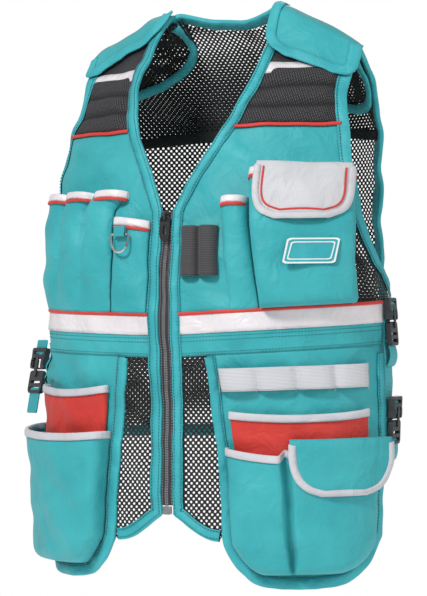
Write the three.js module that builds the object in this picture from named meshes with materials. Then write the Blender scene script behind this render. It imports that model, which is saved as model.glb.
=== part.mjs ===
// Utility work vest with mesh back, reflective tapes and tool pockets.
// Millimetres, +Z up, the front faces -Y and the wearer's left is +X.
// The origin lies in the middle of the neck, level with the top of the shoulder ridge.
import * as THREE from 'three';

// The torso that the cloth follows
const HALF_WIDTH = 218; // centre to side seam at the waist
const FRONT_DEPTH = 134; // body axis to the front at the waist
const BACK_DEPTH = 106; // body axis to the back at the waist
const BODY_AXIS_Y = -5;
const RIDGE_Y = 20; // shoulder ridge, behind the body axis
const LENGTH = 679; // shoulder ridge to the lowest hem, on the wearer's left
const SKIRT_LIFT = { left: 0, right: 9 }; // how much shorter a skirt is than that
const NECK_HALF = 64; // neck point, where the shoulder starts to fall
const TIP_HALF = 198; // shoulder tip
const SHOULDER_DROP = 61; // fall from the neck point to the tip
const SHOULDER_FADE = 220; // depth at which the shoulder's slope has died out
const FRONT_FALL = 380; // depth at which the front is full
const BACK_FALL = 170; // depth at which the back is full
const RING_POWER = 2.4; // 2 is an ellipse, more is squarer

// Cloth and trim thicknesses, and the play between sewn layers
const CLOTH = 1.4;
const MESH = 1.2;
const TRIM = 1.1;
const PLAY = 0.9;
const PAD = 5; // shoulder pad, foam between two cloths
const LINING = 2.5;

// Heights below the ridge and widths of what is sewn to the front
const BINDING = 13.5; // folded tape round every edge
const SEAM_TAPE = 13; // reflective tape across the yoke
const SEAM_TAPE_TOP = 72;
const YOKE_SEAM = 147;
const PIPING = 4;
const NECK_DEPTH = 243; // bottom of the V
const ARMHOLE_DEPTH = 205; // where the armhole turns back
const WAIST = 364; // top of the waist tape at the front
const WAIST_RISE = 10; // its rise towards the side seam
const WAIST_TAPE = 24;
const WAIST_BELT = 26;
const ZIP_END = 596;
const GUSSET_FALL = 30; // how much lower the gusset's hem is at the skirt
const ARMHOLE_FOOT = 14; // armhole's lowest point above the waist tape
const ZIP_HALF = 8; // centre to the edge of the folded front tape
const BACK_LENGTH = 515;
const BACK_NECK_DEPTH = 12;
const BACK_BAND = 148; // bottom of the double back yoke
const BACK_BAND_SAG = 20; // how much lower it is at the armholes

// Pockets: depth is how far the mouth stands off the panel
const TOOL_POCKET = { count: 3, top: 221, depth: 13 };
const PEN_POCKET = { top: 233, depth: 12 };
const SLANT_POCKET = { top: 250, depth: 9, slant: 17 };
const CHEST_POCKET = { top: 206, depth: 24 };
const RED_POCKET = { depth: 8, height: 128 };
const HOLSTER = { top: 503, depth: 26, bottom: 655 };
const POUCH = { top: 519, depth: 22, bottom: 664 };
const ELASTIC = { top: 263, height: 57, bulge: 10, loops: 2 };
const WEBBING = { top: 428, height: 27, bulge: 8, loops: 4 };
const RED_TOP = { left: 478, right: 447 };
const RED_END = { left: 0.438, right: 0.385 };
const CHEST_FLAP = { root: 199, foot: 261 };
const POUCH_FLAP = { root: 509, foot: 573 };
const PAD_FRONT = { left: 50, right: 30 };
const PAD_BACK = { left: 108, right: 66 };
const FLAP_STAND = 3; // air between a flap and the pocket under it

// The zip and the hard pieces
const ZIP = { half: 7.2, tape: 1.2, teeth: 2.6, bead: 1.4 };
const ZIP_BOX = { width: 11, length: 11, thickness: 3.4 };
const SLIDER = { drop: 251, width: 8, length: 15, plate: 1.8, arch: 8, leg: 1.5, clear: 2.4, bridge: 1.3 };
const PULL = { width: 13, length: 30, thickness: 1.6, slot: 10.6, slotLength: 4.8 };
const RING = { width: 27, drop: 21, wire: 3 };
const TAB = { round: 0.1, drop: 262, out: 12.6, width: 15, height: 12, thickness: 5.2, bore: 3.9 };
const BUCKLE = { width: 30, length: 56, thickness: 8.5, chamfer: 6 };
const STRAP = { width: 25, thickness: 1.6 };
const PATCH = { round: 0.319, drop: 297, out: 25.3, width: 62, height: 30, lean: 8, thickness: 1.2 };

// Heights of the layers over the torso
const ON_CLOTH = CLOTH + PLAY;
const ON_TRIM = ON_CLOTH + TRIM + 1.3 * PLAY;
const SEAT = ON_CLOTH - 0.1; // a pocket's hem over its panel
const BIG_SEAT = ON_CLOTH + 0.35; // the same of a wide pocket, whose floor spans the body's corner
const ON_YOKE = MESH + 4 * PLAY; // inwards, under the double back yoke
const EDGE_INSET = TRIM + 2; // a panel ends this far inside the fold of its binding

// Torso sections, as shares of the named sizes
const SECTIONS = [
  { depth: 0.0, width: 0.9, front: 1.0, back: 1.0 },
  { depth: 0.09, width: 0.93, front: 1.0, back: 1.02 },
  { depth: 0.21, width: 0.948, front: 1.0, back: 1.03 },
  { depth: 0.35, width: 0.955, front: 1.0, back: 1.03 },
  { depth: 0.435, width: 0.966, front: 1.0, back: 1.0 },
  { depth: 0.507, width: 0.988, front: 1.0, back: 0.97 },
  { depth: 0.61, width: 0.992, front: 1.0, back: 0.95 },
  { depth: 0.75, width: 0.99, front: 1.01, back: 0.95 },
  { depth: 1.0, width: 0.975, front: 1.03, back: 0.97 },
];

// How the front and the back swell from the ridge down, as shares
const FRONT_SWELL = [
  { depth: 0, out: 0 },
  { depth: 0.03, out: 0.075 },
  { depth: 0.068, out: 0.163 },
  { depth: 0.15, out: 0.34 },
  { depth: 0.242, out: 0.52 },
  { depth: 0.387, out: 0.72 },
  { depth: 0.63, out: 0.925 },
  { depth: 0.8, out: 0.98 },
  { depth: 1, out: 1 },
];
const BACK_SWELL = [
  { depth: 0, out: 0 },
  { depth: 0.05, out: 0.23 },
  { depth: 0.12, out: 0.46 },
  { depth: 0.25, out: 0.68 },
  { depth: 0.45, out: 0.86 },
  { depth: 0.7, out: 0.965 },
  { depth: 1, out: 1 },
];

// Edges: round is a share of half the girth from the front centre, depth a share of its own span
const NECK_EDGE = [
  { depth: 0.01, round: 0.141 },
  { depth: 0.12, round: 0.147 },
  { depth: 0.24, round: 0.15 },
  { depth: 0.38, round: 0.143 },
  { depth: 0.5, round: 0.127 },
  { depth: 0.62, round: 0.105 },
  { depth: 0.78, round: 0.063 },
  { depth: 0.9, round: 0.034 },
  { depth: 1, round: 0.0135 },
];
const FRONT_ARM_EDGE = [
  { depth: 0.268, round: 0.402 },
  { depth: 0.36, round: 0.389 },
  { depth: 0.44, round: 0.38 },
  { depth: 0.54, round: 0.376 },
  { depth: 0.66, round: 0.386 },
  { depth: 0.78, round: 0.4 },
  { depth: 0.9, round: 0.41 },
  { depth: 1, round: 0.42 },
];
const LOW_ARM_EDGE = [
  { depth: 0, round: 0.42 },
  { depth: 0.32, round: 0.444 },
  { depth: 0.62, round: 0.482 },
  { depth: 0.8, round: 0.52 },
  { depth: 0.92, round: 0.57 },
  { depth: 1, round: 0.628 },
];
const BACK_ARM_EDGE = [
  { depth: 0.106, round: 0.6103 },
  { depth: 0.2, round: 0.617 },
  { depth: 0.3, round: 0.625 },
  { depth: 0.45, round: 0.637 },
  { depth: 0.65, round: 0.645 },
  { depth: 1, round: 0.65 },
];
const SKIRT_INNER = [
  { depth: 0, round: 0.093 },
  { depth: 0.25, round: 0.108 },
  { depth: 0.5, round: 0.122 },
  { depth: 0.76, round: 0.129 },
  { depth: 0.85, round: 0.14 },
  { depth: 0.94, round: 0.172 },
  { depth: 1, round: 0.225 },
];
const SKIRT_OUTER = [
  { depth: 0, round: 0.5 },
  { depth: 0.7, round: 0.497 },
  { depth: 0.83, round: 0.482 },
  { depth: 0.93, round: 0.44 },
  { depth: 1, round: 0.37 },
];
const GUSSET_HEM = [
  { depth: 0, round: 0.014 },
  { depth: 0.27, round: 0.035 },
  { depth: 0.63, round: 0.062 },
  { depth: 0.9, round: 0.092 },
  { depth: 1, round: 0.122 },
];

// Shoulder pieces: t is a share of the walk down from the ridge
const PAD_ROWS = [
  { t: 0, inner: 0.135, outer: 0.408 },
  { t: 0.4, inner: 0.138, outer: 0.402 },
  { t: 0.75, inner: 0.148, outer: 0.388 },
  { t: 0.92, inner: 0.17, outer: 0.36 },
  { t: 1, inner: 0.2, outer: 0.325 },
];
const LINING_ROWS = [
  { t: 0, inner: 0.14, outer: 0.375 },
  { t: 0.06, inner: 0.135, outer: 0.385 },
  { t: 0.4, inner: 0.12, outer: 0.41 },
  { t: 0.7, inner: 0.135, outer: 0.4 },
  { t: 0.88, inner: 0.17, outer: 0.365 },
  { t: 1, inner: 0.23, outer: 0.31 },
];
const SHOULDER_TAPE_ROWS = [
  { t: 0, inner: 0.175, outer: 0.355 },
  { t: 1, inner: 0.175, outer: 0.35 },
];
const BACK_ARM_STEPS = [0, 0.02, 0.045, 0.075, 0.12, 0.18, 0.26, 0.37, 0.5, 0.64, 0.82, 1];
const SKIRT_ROWS = [0, 0.25, 0.5, 0.7, 0.79, 0.87, 0.945, 1];

const TEAL = { color: 0x40b5bc, roughness: 0.75 };
const RED = { color: 0xd8352b, roughness: 0.75 };
const REFLECTIVE = { color: 0xe8e4e6, roughness: 0.4 };
const GREY = { color: 0xd5d5da, roughness: 0.7 };
const BLACK_MESH = { color: 0x17181a, roughness: 0.9 };
const CHARCOAL = { color: 0x3a3a3c, roughness: 0.85 };
const BLACK_PLASTIC = { color: 0x2a2b2e, roughness: 0.45 };
const STEEL = { color: 0xc8c8cc, roughness: 0.3, metalness: 0.9 };

const vest = new THREE.Group();

const lerp = THREE.MathUtils.lerp;
const clamp = THREE.MathUtils.clamp;
const smooth = (t) => THREE.MathUtils.smoothstep(t, 0, 1);

function lookUp(table, key, value, column) {
  const last = table.length - 1;
  let i = 1;
  while (i < last && table[i][key] < value) i += 1;
  const a = table[i - 1];
  const b = table[i];
  return lerp(a[column], b[column], clamp((value - a[key]) / (b[key] - a[key]), 0, 1));
}

// The same through a smooth curve, level at both ends of the table
function smoothLookUp(table, key, value, column) {
  const last = table.length - 1;
  let i = 1;
  while (i < last && table[i][key] < value) i += 1;
  const slope = (k) => {
    const a = table[Math.max(k - 1, 0)];
    const b = table[Math.min(k + 1, last)];
    return (b[column] - a[column]) / (b[key] - a[key]);
  };
  const a = table[i - 1];
  const b = table[i];
  const span = b[key] - a[key];
  const t = clamp((value - a[key]) / span, 0, 1);
  const bend = (t * t * t - 2 * t * t + t) * slope(i - 1) + (t * t * t - t * t) * slope(i);
  return lerp(a[column], b[column], smooth(t)) + span * bend;
}

// The waist ring: equal steps of angle, with the girth walked so far
const RING_STEPS = 3000;
const signedPower = (value, power) => Math.sign(value) * Math.abs(value) ** power;
const ring = [];
for (let i = 0; i <= RING_STEPS; i += 1) {
  const angle = (Math.PI * i) / RING_STEPS;
  const sideways = signedPower(Math.sin(angle), 2 / RING_POWER);
  const forward = signedPower(Math.cos(angle), 2 / RING_POWER);
  const x = HALF_WIDTH * sideways;
  const y = forward * (forward > 0 ? FRONT_DEPTH : BACK_DEPTH);
  const before = ring[i - 1];
  const walked = before ? before.walked + Math.hypot(x - before.x, y - before.y) : 0;
  ring.push({ walked, sideways, forward, x, y });
}
const GIRTH = ring[RING_STEPS].walked; // half the girth, front centre to back centre

function ringAt(round) {
  const turn = 2 * GIRTH;
  const wrapped = ((((round + GIRTH) % turn) + turn) % turn) - GIRTH;
  const walked = Math.abs(wrapped);
  let low = 0;
  let high = RING_STEPS;
  while (high - low > 1) {
    const middle = (low + high) >> 1;
    if (ring[middle].walked <= walked) low = middle;
    else high = middle;
  }
  const t = (walked - ring[low].walked) / (ring[high].walked - ring[low].walked);
  return {
    sideways: Math.sign(wrapped || 1) * lerp(ring[low].sideways, ring[high].sideways, t),
    forward: lerp(ring[low].forward, ring[high].forward, t),
  };
}

// round: mm walked from the front centre, + to the wearer's left. level: mm below the ridge there
function torso(round, level) {
  const { sideways, forward } = ringAt(round);
  const share = clamp(level / LENGTH, 0, 1);
  const x = HALF_WIDTH * smoothLookUp(SECTIONS, 'depth', share, 'width') * sideways;
  const slope = clamp((Math.abs(x) - NECK_HALF) / (TIP_HALF - NECK_HALF), 0, 1.2);
  const ridge = -SHOULDER_DROP * slope;
  const z = -level + ridge * (1 - smooth(level / SHOULDER_FADE));
  const below = ridge - z;
  const front = smoothLookUp(FRONT_SWELL, 'depth', clamp(below / (ridge + FRONT_FALL), 0, 1), 'out');
  const back = smoothLookUp(BACK_SWELL, 'depth', clamp(below / (ridge + BACK_FALL), 0, 1), 'out');
  const swell = lerp(front, back, smooth((0.45 - forward) / 0.9));
  const depth = forward > 0
    ? FRONT_DEPTH * smoothLookUp(SECTIONS, 'depth', share, 'front')
    : BACK_DEPTH * smoothLookUp(SECTIONS, 'depth', share, 'back');
  return new THREE.Vector3(x, RIDGE_Y + (BODY_AXIS_Y - depth * forward - RIDGE_Y) * swell, z);
}

// The level at which the torso is `drop` below the neck point
function levelOf(round, drop) {
  let low = 0;
  let high = LENGTH * 1.1;
  for (let i = 0; i < 40; i += 1) {
    const middle = (low + high) / 2;
    if (-torso(round, middle).z < drop) low = middle;
    else high = middle;
  }
  return (low + high) / 2;
}

// The same place across the body on the other side of the shoulder ridge
function opposite(round) {
  const half = RING_STEPS / 2;
  const { sideways, forward } = ringAt(round);
  let near = ring[half].walked;
  let far = forward > 0 ? GIRTH : 0;
  for (let i = 0; i < 40; i += 1) {
    const middle = (near + far) / 2;
    if (ringAt(middle).sideways > Math.abs(sideways)) near = middle;
    else far = middle;
  }
  return Math.sign(sideways || 1) * ((near + far) / 2);
}

// A chart over the shoulder: walk is mm down the front, or with a minus sign down the back
const over = (round, walk) => (walk >= 0 ? torso(round, walk) : torso(opposite(round), -walk));

function normalAt(round, walk) {
  const step = 2;
  const across = over(round + step, walk).sub(over(round - step, walk));
  const down = over(round, walk + step).sub(over(round, walk - step));
  return down.cross(across).normalize();
}

const lift = (round, walk, out) => over(round, walk).addScaledVector(normalAt(round, walk), out);

// A point of the vest by its height: drop is mm below the neck point
const onBody = (round, drop, out) => lift(round, levelOf(round, drop), out);

function closedBody(vertices, faces) {
  let volume = 0;
  faces.forEach(([a, b, c]) => {
    volume += vertices[a].dot(vertices[b].clone().cross(vertices[c]));
  });
  const order = volume > 0 ? faces : faces.map(([a, b, c]) => [a, c, b]);
  const geometry = new THREE.BufferGeometry();
  geometry.setAttribute('position', new THREE.Float32BufferAttribute(
    vertices.flatMap((v) => [v.x, v.y, v.z]), 3));
  geometry.setIndex(order.flat());
  return geometry;
}

function addPiece(name, look, geometry) {
  const mesh = new THREE.Mesh(geometry, new THREE.MeshStandardMaterial({ name, ...look }));
  mesh.name = name;
  vest.add(mesh);
  return mesh;
}

const steps = (count) => Array.from({ length: count + 1 }, (_, i) => i / count);

// A sheet with two faces: place(s, t, outer) gives a point of the inner or the outer face
function sheet(columns, rows, place) {
  const vertices = [];
  [0, 1].forEach((outer) => rows.forEach((t) => columns.forEach((s) => {
    vertices.push(place(s, t, outer));
  })));
  const wide = columns.length;
  const tall = rows.length;
  const index = (i, j, outer) => (outer * tall + j) * wide + i;
  const faces = [];
  const quad = (a, b, c, d) => faces.push([a, b, c], [a, c, d]);
  for (let j = 0; j + 1 < tall; j += 1) {
    for (let i = 0; i + 1 < wide; i += 1) {
      quad(index(i, j, 1), index(i, j + 1, 1), index(i + 1, j + 1, 1), index(i + 1, j, 1));
      quad(index(i, j, 0), index(i + 1, j, 0), index(i + 1, j + 1, 0), index(i, j + 1, 0));
    }
  }
  for (let i = 0; i + 1 < wide; i += 1) {
    quad(index(i, 0, 1), index(i + 1, 0, 1), index(i + 1, 0, 0), index(i, 0, 0));
    quad(index(i, tall - 1, 1), index(i, tall - 1, 0), index(i + 1, tall - 1, 0), index(i + 1, tall - 1, 1));
  }
  for (let j = 0; j + 1 < tall; j += 1) {
    quad(index(0, j, 1), index(0, j, 0), index(0, j + 1, 0), index(0, j + 1, 1));
    quad(index(wide - 1, j, 1), index(wide - 1, j + 1, 1), index(wide - 1, j + 1, 0), index(wide - 1, j, 0));
  }
  return closedBody(vertices, faces);
}

// A flat-lying panel between two upright edges and two lines across
function panel({ side = 1, left, right, top, bottom, from = 0, thick, across, down }) {
  return sheet(across, down, (s, t, outer) => {
    let round = 0;
    let drop = 0;
    // the line's height depends on the place across it and the other way round
    for (let pass = 0; pass < 8; pass += 1) {
      drop = lerp(top(round), bottom(round), t);
      round = lerp(left(drop), right(drop), s);
    }
    return onBody(side * round, lerp(top(round), bottom(round), t), from + outer * thick);
  });
}

// A pocket's wall: columns and rows say what share of its depth it stands off there
function pocketWall({ side, left, right, top, bottom, base, depth, columns, rows }) {
  return sheet(columns, rows, (column, row, outer) => {
    const inset = outer ? 0 : CLOTH;
    let round = 0;
    let drop = 0;
    for (let pass = 0; pass < 3; pass += 1) {
      drop = lerp(top(round), bottom(round) - inset, row.t);
      round = lerp(left(drop) + inset, right(drop) - inset, column.s);
    }
    const out = base + depth * column.out * row.out + outer * CLOTH;
    return onBody(side * round, drop, out);
  });
}

// A flap that comes off the panel, over a mouth and down in front of it
function hangingFlap({ side, left, right, profile, columns }) {
  return sheet(columns, profile, (s, row, outer) => {
    const middle = (left(row.drop) + right(row.drop)) / 2;
    const half = ((right(row.drop) - left(row.drop)) / 2) * row.width;
    const round = lerp(middle - half, middle + half, s);
    const under = outer ? 0 : CLOTH;
    return onBody(side * round, row.drop + under * row.under, row.out - under * row.behind);
  });
}

// A sheet over the shoulder, in rows of walk and its two ends
function shoulderSheet({ side, rows, walk, from, thick, across }) {
  return sheet(across, rows, (s, row, outer) => {
    const round = side * GIRTH * lerp(row.inner, row.outer, s);
    return lift(round, lerp(walk[0], walk[1], row.t), from + outer * thick);
  });
}

// A tape folded over an edge: the path runs along the fold, the cloth on its left seen from outside,
// and play is the air on each side of that cloth
function foldedTape(path, side, play = PLAY) {
  const low = -play - TRIM;
  const high = CLOTH + play + TRIM;
  const section = [
    [BINDING, high], [0, high], [0, low], [BINDING, low],
    [BINDING, low + TRIM], [TRIM, low + TRIM], [TRIM, high - TRIM], [BINDING, high - TRIM],
  ];
  const points = path.map(([round, walk]) => over(round, walk));
  const vertices = [];
  path.forEach(([round, walk], i) => {
    const next = points[Math.min(i + 1, path.length - 1)];
    const tangent = next.clone().sub(points[Math.max(i - 1, 0)]);
    const inside = normalAt(round, walk).cross(tangent).normalize().multiplyScalar(side);
    const alongRound = over(round + 1, walk).sub(over(round - 1, walk)).multiplyScalar(0.5);
    const alongWalk = over(round, walk + 1).sub(over(round, walk - 1)).multiplyScalar(0.5);
    const rr = alongRound.dot(alongRound);
    const ww = alongWalk.dot(alongWalk);
    const rw = alongRound.dot(alongWalk);
    const ri = alongRound.dot(inside);
    const wi = alongWalk.dot(inside);
    const perMm = {
      round: (ri * ww - wi * rw) / (rr * ww - rw * rw),
      walk: (wi * rr - ri * rw) / (rr * ww - rw * rw),
    };
    section.forEach(([across, out]) => {
      vertices.push(lift(round + perMm.round * across, walk + perMm.walk * across, out));
    });
  });
  const size = section.length;
  const faces = [];
  const quad = (a, b, c, d) => faces.push([a, b, c], [a, c, d]);
  for (let i = 0; i + 1 < path.length; i += 1) {
    for (let k = 0; k < size; k += 1) {
      const n = (k + 1) % size;
      quad(i * size + k, i * size + n, (i + 1) * size + n, (i + 1) * size + k);
    }
  }
  const end = (path.length - 1) * size;
  [[7, 6, 1, 0], [6, 5, 2, 1], [5, 4, 3, 2]].forEach(([a, b, c, d]) => {
    quad(a, b, c, d);
    quad(end + d, end + c, end + b, end + a);
  });
  return closedBody(vertices, faces);
}

// A smooth edge through a table's rows, whose depth column is a share of the span
function makeEdge(table, start, span) {
  const curve = new THREE.SplineCurve(table.map(({ depth, round }) => (
    new THREE.Vector2(round * GIRTH, start + depth * span))));
  const points = curve.getSpacedPoints(120).map(({ x, y }) => ({ round: x, drop: y }));
  return {
    curve,
    at: (drop) => lookUp(points, 'drop', drop, 'round'),
    dropAt: (round) => lookUp(points, 'round', round, 'drop'),
  };
}

// Chart points along a curve of rounds and drops
const chartPath = (curve, shares, side) => shares.map((t) => {
  const { x, y } = curve.getPointAt(t);
  return [side * x, Math.max(levelOf(x, y), 4 * PLAY)];
});

// A place beside an edge, at least the gap away from all of it
function beside(line, sign, gap, [first, last]) {
  const points = steps(90).map((t) => {
    const drop = lerp(first, last, t);
    return onBody(line.at(drop), drop, 0);
  });
  const pieces = points.slice(1).map((point, i) => new THREE.Line3(points[i], point));
  const nearest = new THREE.Vector3();
  const clearOf = (place) => Math.min(...pieces.map((piece) => (
    piece.closestPointToPoint(place, true, nearest).distanceTo(place))));
  const rows = steps(60).map((t) => {
    const drop = lerp(first, last, t);
    let low = 0;
    let high = gap * 3;
    for (let i = 0; i < 9; i += 1) {
      const middle = (low + high) / 2;
      if (clearOf(onBody(line.at(drop) + sign * middle, drop, 0)) < gap) low = middle;
      else high = middle;
    }
    return { drop, round: line.at(drop) + sign * high };
  });
  return (drop) => lookUp(rows, 'drop', drop, 'round');
}

const fixed = (value) => () => value;
const shifted = (line, amount) => (value) => line(value) + amount;
const atDrops = (top, bottom, drops) => drops.map((drop) => clamp((drop - top) / (bottom - top), 0, 1));

// Lines across the front
const SIDE = ring[RING_STEPS / 2].walked;
const BELT_END = GIRTH * 0.5;
const waistTop = (round) => WAIST - WAIST_RISE * clamp(Math.abs(round) / BELT_END, 0, 1);
const tapeBottom = shifted(waistTop, WAIST_TAPE);
const beltBottom = shifted(tapeBottom, WAIST_BELT);
const panelFoot = shifted(waistTop, PIPING / 2 - PLAY / 2);
const beltHead = shifted(waistTop, PIPING / 2 + PLAY / 2);
const skirtHead = shifted(beltBottom, PLAY);
const ridgeDrop = (round) => -torso(round, 0).z;

// Upright edges
const neck = makeEdge(NECK_EDGE, 0, NECK_DEPTH);
const frontArm = makeEdge(FRONT_ARM_EDGE, 0, ARMHOLE_DEPTH);
const backArm = makeEdge(BACK_ARM_EDGE, 0, BACK_LENGTH);
const lowArm = makeEdge(LOW_ARM_EDGE, ARMHOLE_DEPTH, waistTop(BELT_END) - ARMHOLE_FOOT - ARMHOLE_DEPTH);
const hem = makeEdge(GUSSET_HEM, ZIP_END, GUSSET_FALL);
const SIDE_SEAM = LOW_ARM_EDGE[0].round * GIRTH;

const besideBinding = BINDING + 2 * PLAY;
const frontFold = { at: (drop) => (drop < NECK_DEPTH ? Math.max(neck.at(drop), ZIP_HALF) : ZIP_HALF) };
const FRONT_SPAN = [4 * PLAY, ZIP_END];
const ARM_SPAN = [FRONT_ARM_EDGE[0].depth * ARMHOLE_DEPTH, ARMHOLE_DEPTH];
const BACK_SPAN = [BACK_ARM_EDGE[0].depth * BACK_LENGTH, BACK_LENGTH];
const frontInset = beside(frontFold, 1, EDGE_INSET, FRONT_SPAN);
const frontFree = beside(frontFold, 1, besideBinding, FRONT_SPAN);
const armInset = beside(frontArm, -1, EDGE_INSET, ARM_SPAN);
const armFree = beside(frontArm, -1, besideBinding, ARM_SPAN);
const backInset = beside(backArm, 1, EDGE_INSET, BACK_SPAN);
const backFree = beside(backArm, 1, besideBinding, BACK_SPAN);

// The edges of one skirt, and the lines inside them where its panel and its pockets end
function makeSkirt(lift) {
  const length = LENGTH - lift;
  const inner = makeEdge(SKIRT_INNER, beltBottom(0), length - beltBottom(0));
  const outer = makeEdge(SKIRT_OUTER, beltBottom(0), length - beltBottom(0));
  const span = [beltBottom(0), length];
  return {
    length,
    inner,
    outer,
    panelStart: beside(inner, 1, EDGE_INSET, span),
    panelEnd: beside(outer, -1, EDGE_INSET + 2.5 * PLAY, span),
    free: beside(inner, 1, besideBinding, span),
    end: beside(outer, -1, besideBinding, span),
  };
}
const SKIRTS = { left: makeSkirt(SKIRT_LIFT.left), right: makeSkirt(SKIRT_LIFT.right) };

function addFront(side, name) {
  const skirt = SKIRTS[name];
  const seam = SEAM_TAPE_TOP + SEAM_TAPE / 2;
  const yoke = { side, left: frontInset, right: armInset, thick: CLOTH };
  addPiece(`shoulder_strap_${name}`, CHARCOAL, panel({
    ...yoke, across: steps(6), down: steps(4),
    top: (round) => ridgeDrop(round) + 9 * PLAY, bottom: fixed(seam - PLAY / 2),
  }));
  addPiece(`yoke_mesh_${name}`, CHARCOAL, panel({
    ...yoke, across: steps(7), down: steps(4),
    top: fixed(seam + PLAY / 2), bottom: fixed(YOKE_SEAM - PLAY / 2),
  }));
  const trim = { side, left: frontFree, right: armFree, from: ON_CLOTH, thick: TRIM, down: steps(1) };
  addPiece(`yoke_tape_${name}`, REFLECTIVE, panel({
    ...trim, across: steps(6), top: fixed(SEAM_TAPE_TOP), bottom: fixed(SEAM_TAPE_TOP + SEAM_TAPE),
  }));
  addPiece(`yoke_piping_${name}`, RED, panel({
    ...trim, across: steps(7), top: fixed(YOKE_SEAM - PIPING / 2), bottom: fixed(YOKE_SEAM + PIPING / 2),
  }));
  const chestTop = YOKE_SEAM + PLAY / 2;
  addPiece(`chest_panel_${name}`, TEAL, panel({
    side, left: frontInset, thick: CLOTH, across: steps(11),
    right: (drop) => Math.min(armInset(drop), SIDE_SEAM - PLAY),
    top: fixed(chestTop), bottom: panelFoot,
    down: atDrops(chestTop, waistTop(0), [
      chestTop, lerp(chestTop, ARMHOLE_DEPTH, 0.5), ARMHOLE_DEPTH, lerp(ARMHOLE_DEPTH, NECK_DEPTH, 0.5),
      NECK_DEPTH, lerp(NECK_DEPTH, WAIST, 0.33), lerp(NECK_DEPTH, WAIST, 0.66), WAIST,
    ]),
  }));
  addPiece(`waist_belt_${name}`, TEAL, panel({
    side, left: fixed(ZIP_HALF + EDGE_INSET), right: fixed(BELT_END), thick: CLOTH,
    across: steps(12), down: steps(1), top: beltHead, bottom: beltBottom,
  }));
  addPiece(`waist_tape_${name}`, REFLECTIVE, panel({
    side, left: fixed(ZIP_HALF + besideBinding), right: fixed(BELT_END), from: ON_CLOTH, thick: TRIM,
    across: steps(12), down: steps(1), top: waistTop, bottom: tapeBottom,
  }));
  addPiece(`side_mesh_${name}`, BLACK_MESH, panel({
    side, left: fixed(SIDE_SEAM + PLAY), right: (drop) => backArm.at(drop) - 4 * PLAY, thick: MESH,
    across: steps(10), down: steps(3),
    top: (round) => lowArm.dropAt(round) + 4 * EDGE_INSET, bottom: panelFoot,
  }));
  addPiece(`gusset_mesh_${name}`, BLACK_MESH, panel({
    side, left: fixed(ZIP_HALF + EDGE_INSET), right: (drop) => skirt.inner.at(drop) - 2 * PLAY, thick: MESH,
    across: steps(4), down: steps(6),
    top: skirtHead, bottom: (round) => hem.dropAt(round) - 2 * EDGE_INSET,
  }));
  addPiece(`skirt_panel_${name}`, TEAL, panel({
    side, thick: CLOTH, across: steps(11), down: atDrops(0, 1, SKIRT_ROWS),
    left: skirt.panelStart, right: skirt.panelEnd,
    top: skirtHead, bottom: fixed(skirt.length - 2 * EDGE_INSET),
  }));

  addPiece(`front_binding_${name}`, TEAL, foldedTape([
    ...chartPath(neck.curve, steps(13), side),
    ...steps(8).slice(1, 8).map((t) => [side * ZIP_HALF, lerp(NECK_DEPTH, ZIP_END, t)]),
    ...chartPath(hem.curve, steps(5), side),
  ], side));

  const low = chartPath(lowArm.curve, steps(8), side).reverse();
  const front = chartPath(frontArm.curve, steps(7), side).reverse().slice(1);
  const atRidge = [side * FRONT_ARM_EDGE[0].round * GIRTH, 0];
  const back = chartPath(backArm.curve, BACK_ARM_STEPS, 1).map(([round, level]) => [side * opposite(round), -level]);
  addPiece(`armhole_binding_${name}`, TEAL, foldedTape([...low, ...front, atRidge, ...back], side));

  const outline = [...skirt.inner.curve.points, ...skirt.outer.curve.points.slice().reverse()].map(
    ({ x, y }) => new THREE.Vector2(x, Math.max(y, skirtHead(x) + PLAY)));
  addPiece(`skirt_binding_${name}`, TEAL, foldedTape(
    chartPath(new THREE.SplineCurve(outline), steps(25), side), side, 1.3 * PLAY));
}

function addShoulder(side, name) {
  addPiece(`shoulder_pad_${name}`, TEAL, shoulderSheet({
    side, rows: PAD_ROWS, walk: [PLAY, PAD_FRONT[name]], from: ON_TRIM, thick: PAD, across: steps(8),
  }));
  addPiece(`shoulder_lining_${name}`, BLACK_MESH, shoulderSheet({
    side, rows: LINING_ROWS, walk: [-4 * PLAY, -PAD_BACK[name]], from: -ON_YOKE - LINING, thick: LINING,
    across: steps(8),
  }));
  addPiece(`shoulder_tape_${name}`, REFLECTIVE, shoulderSheet({
    side, rows: SHOULDER_TAPE_ROWS, walk: [-1.5, -6.5], from: MESH + PLAY, thick: TRIM, across: steps(6),
  }));
}

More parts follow.
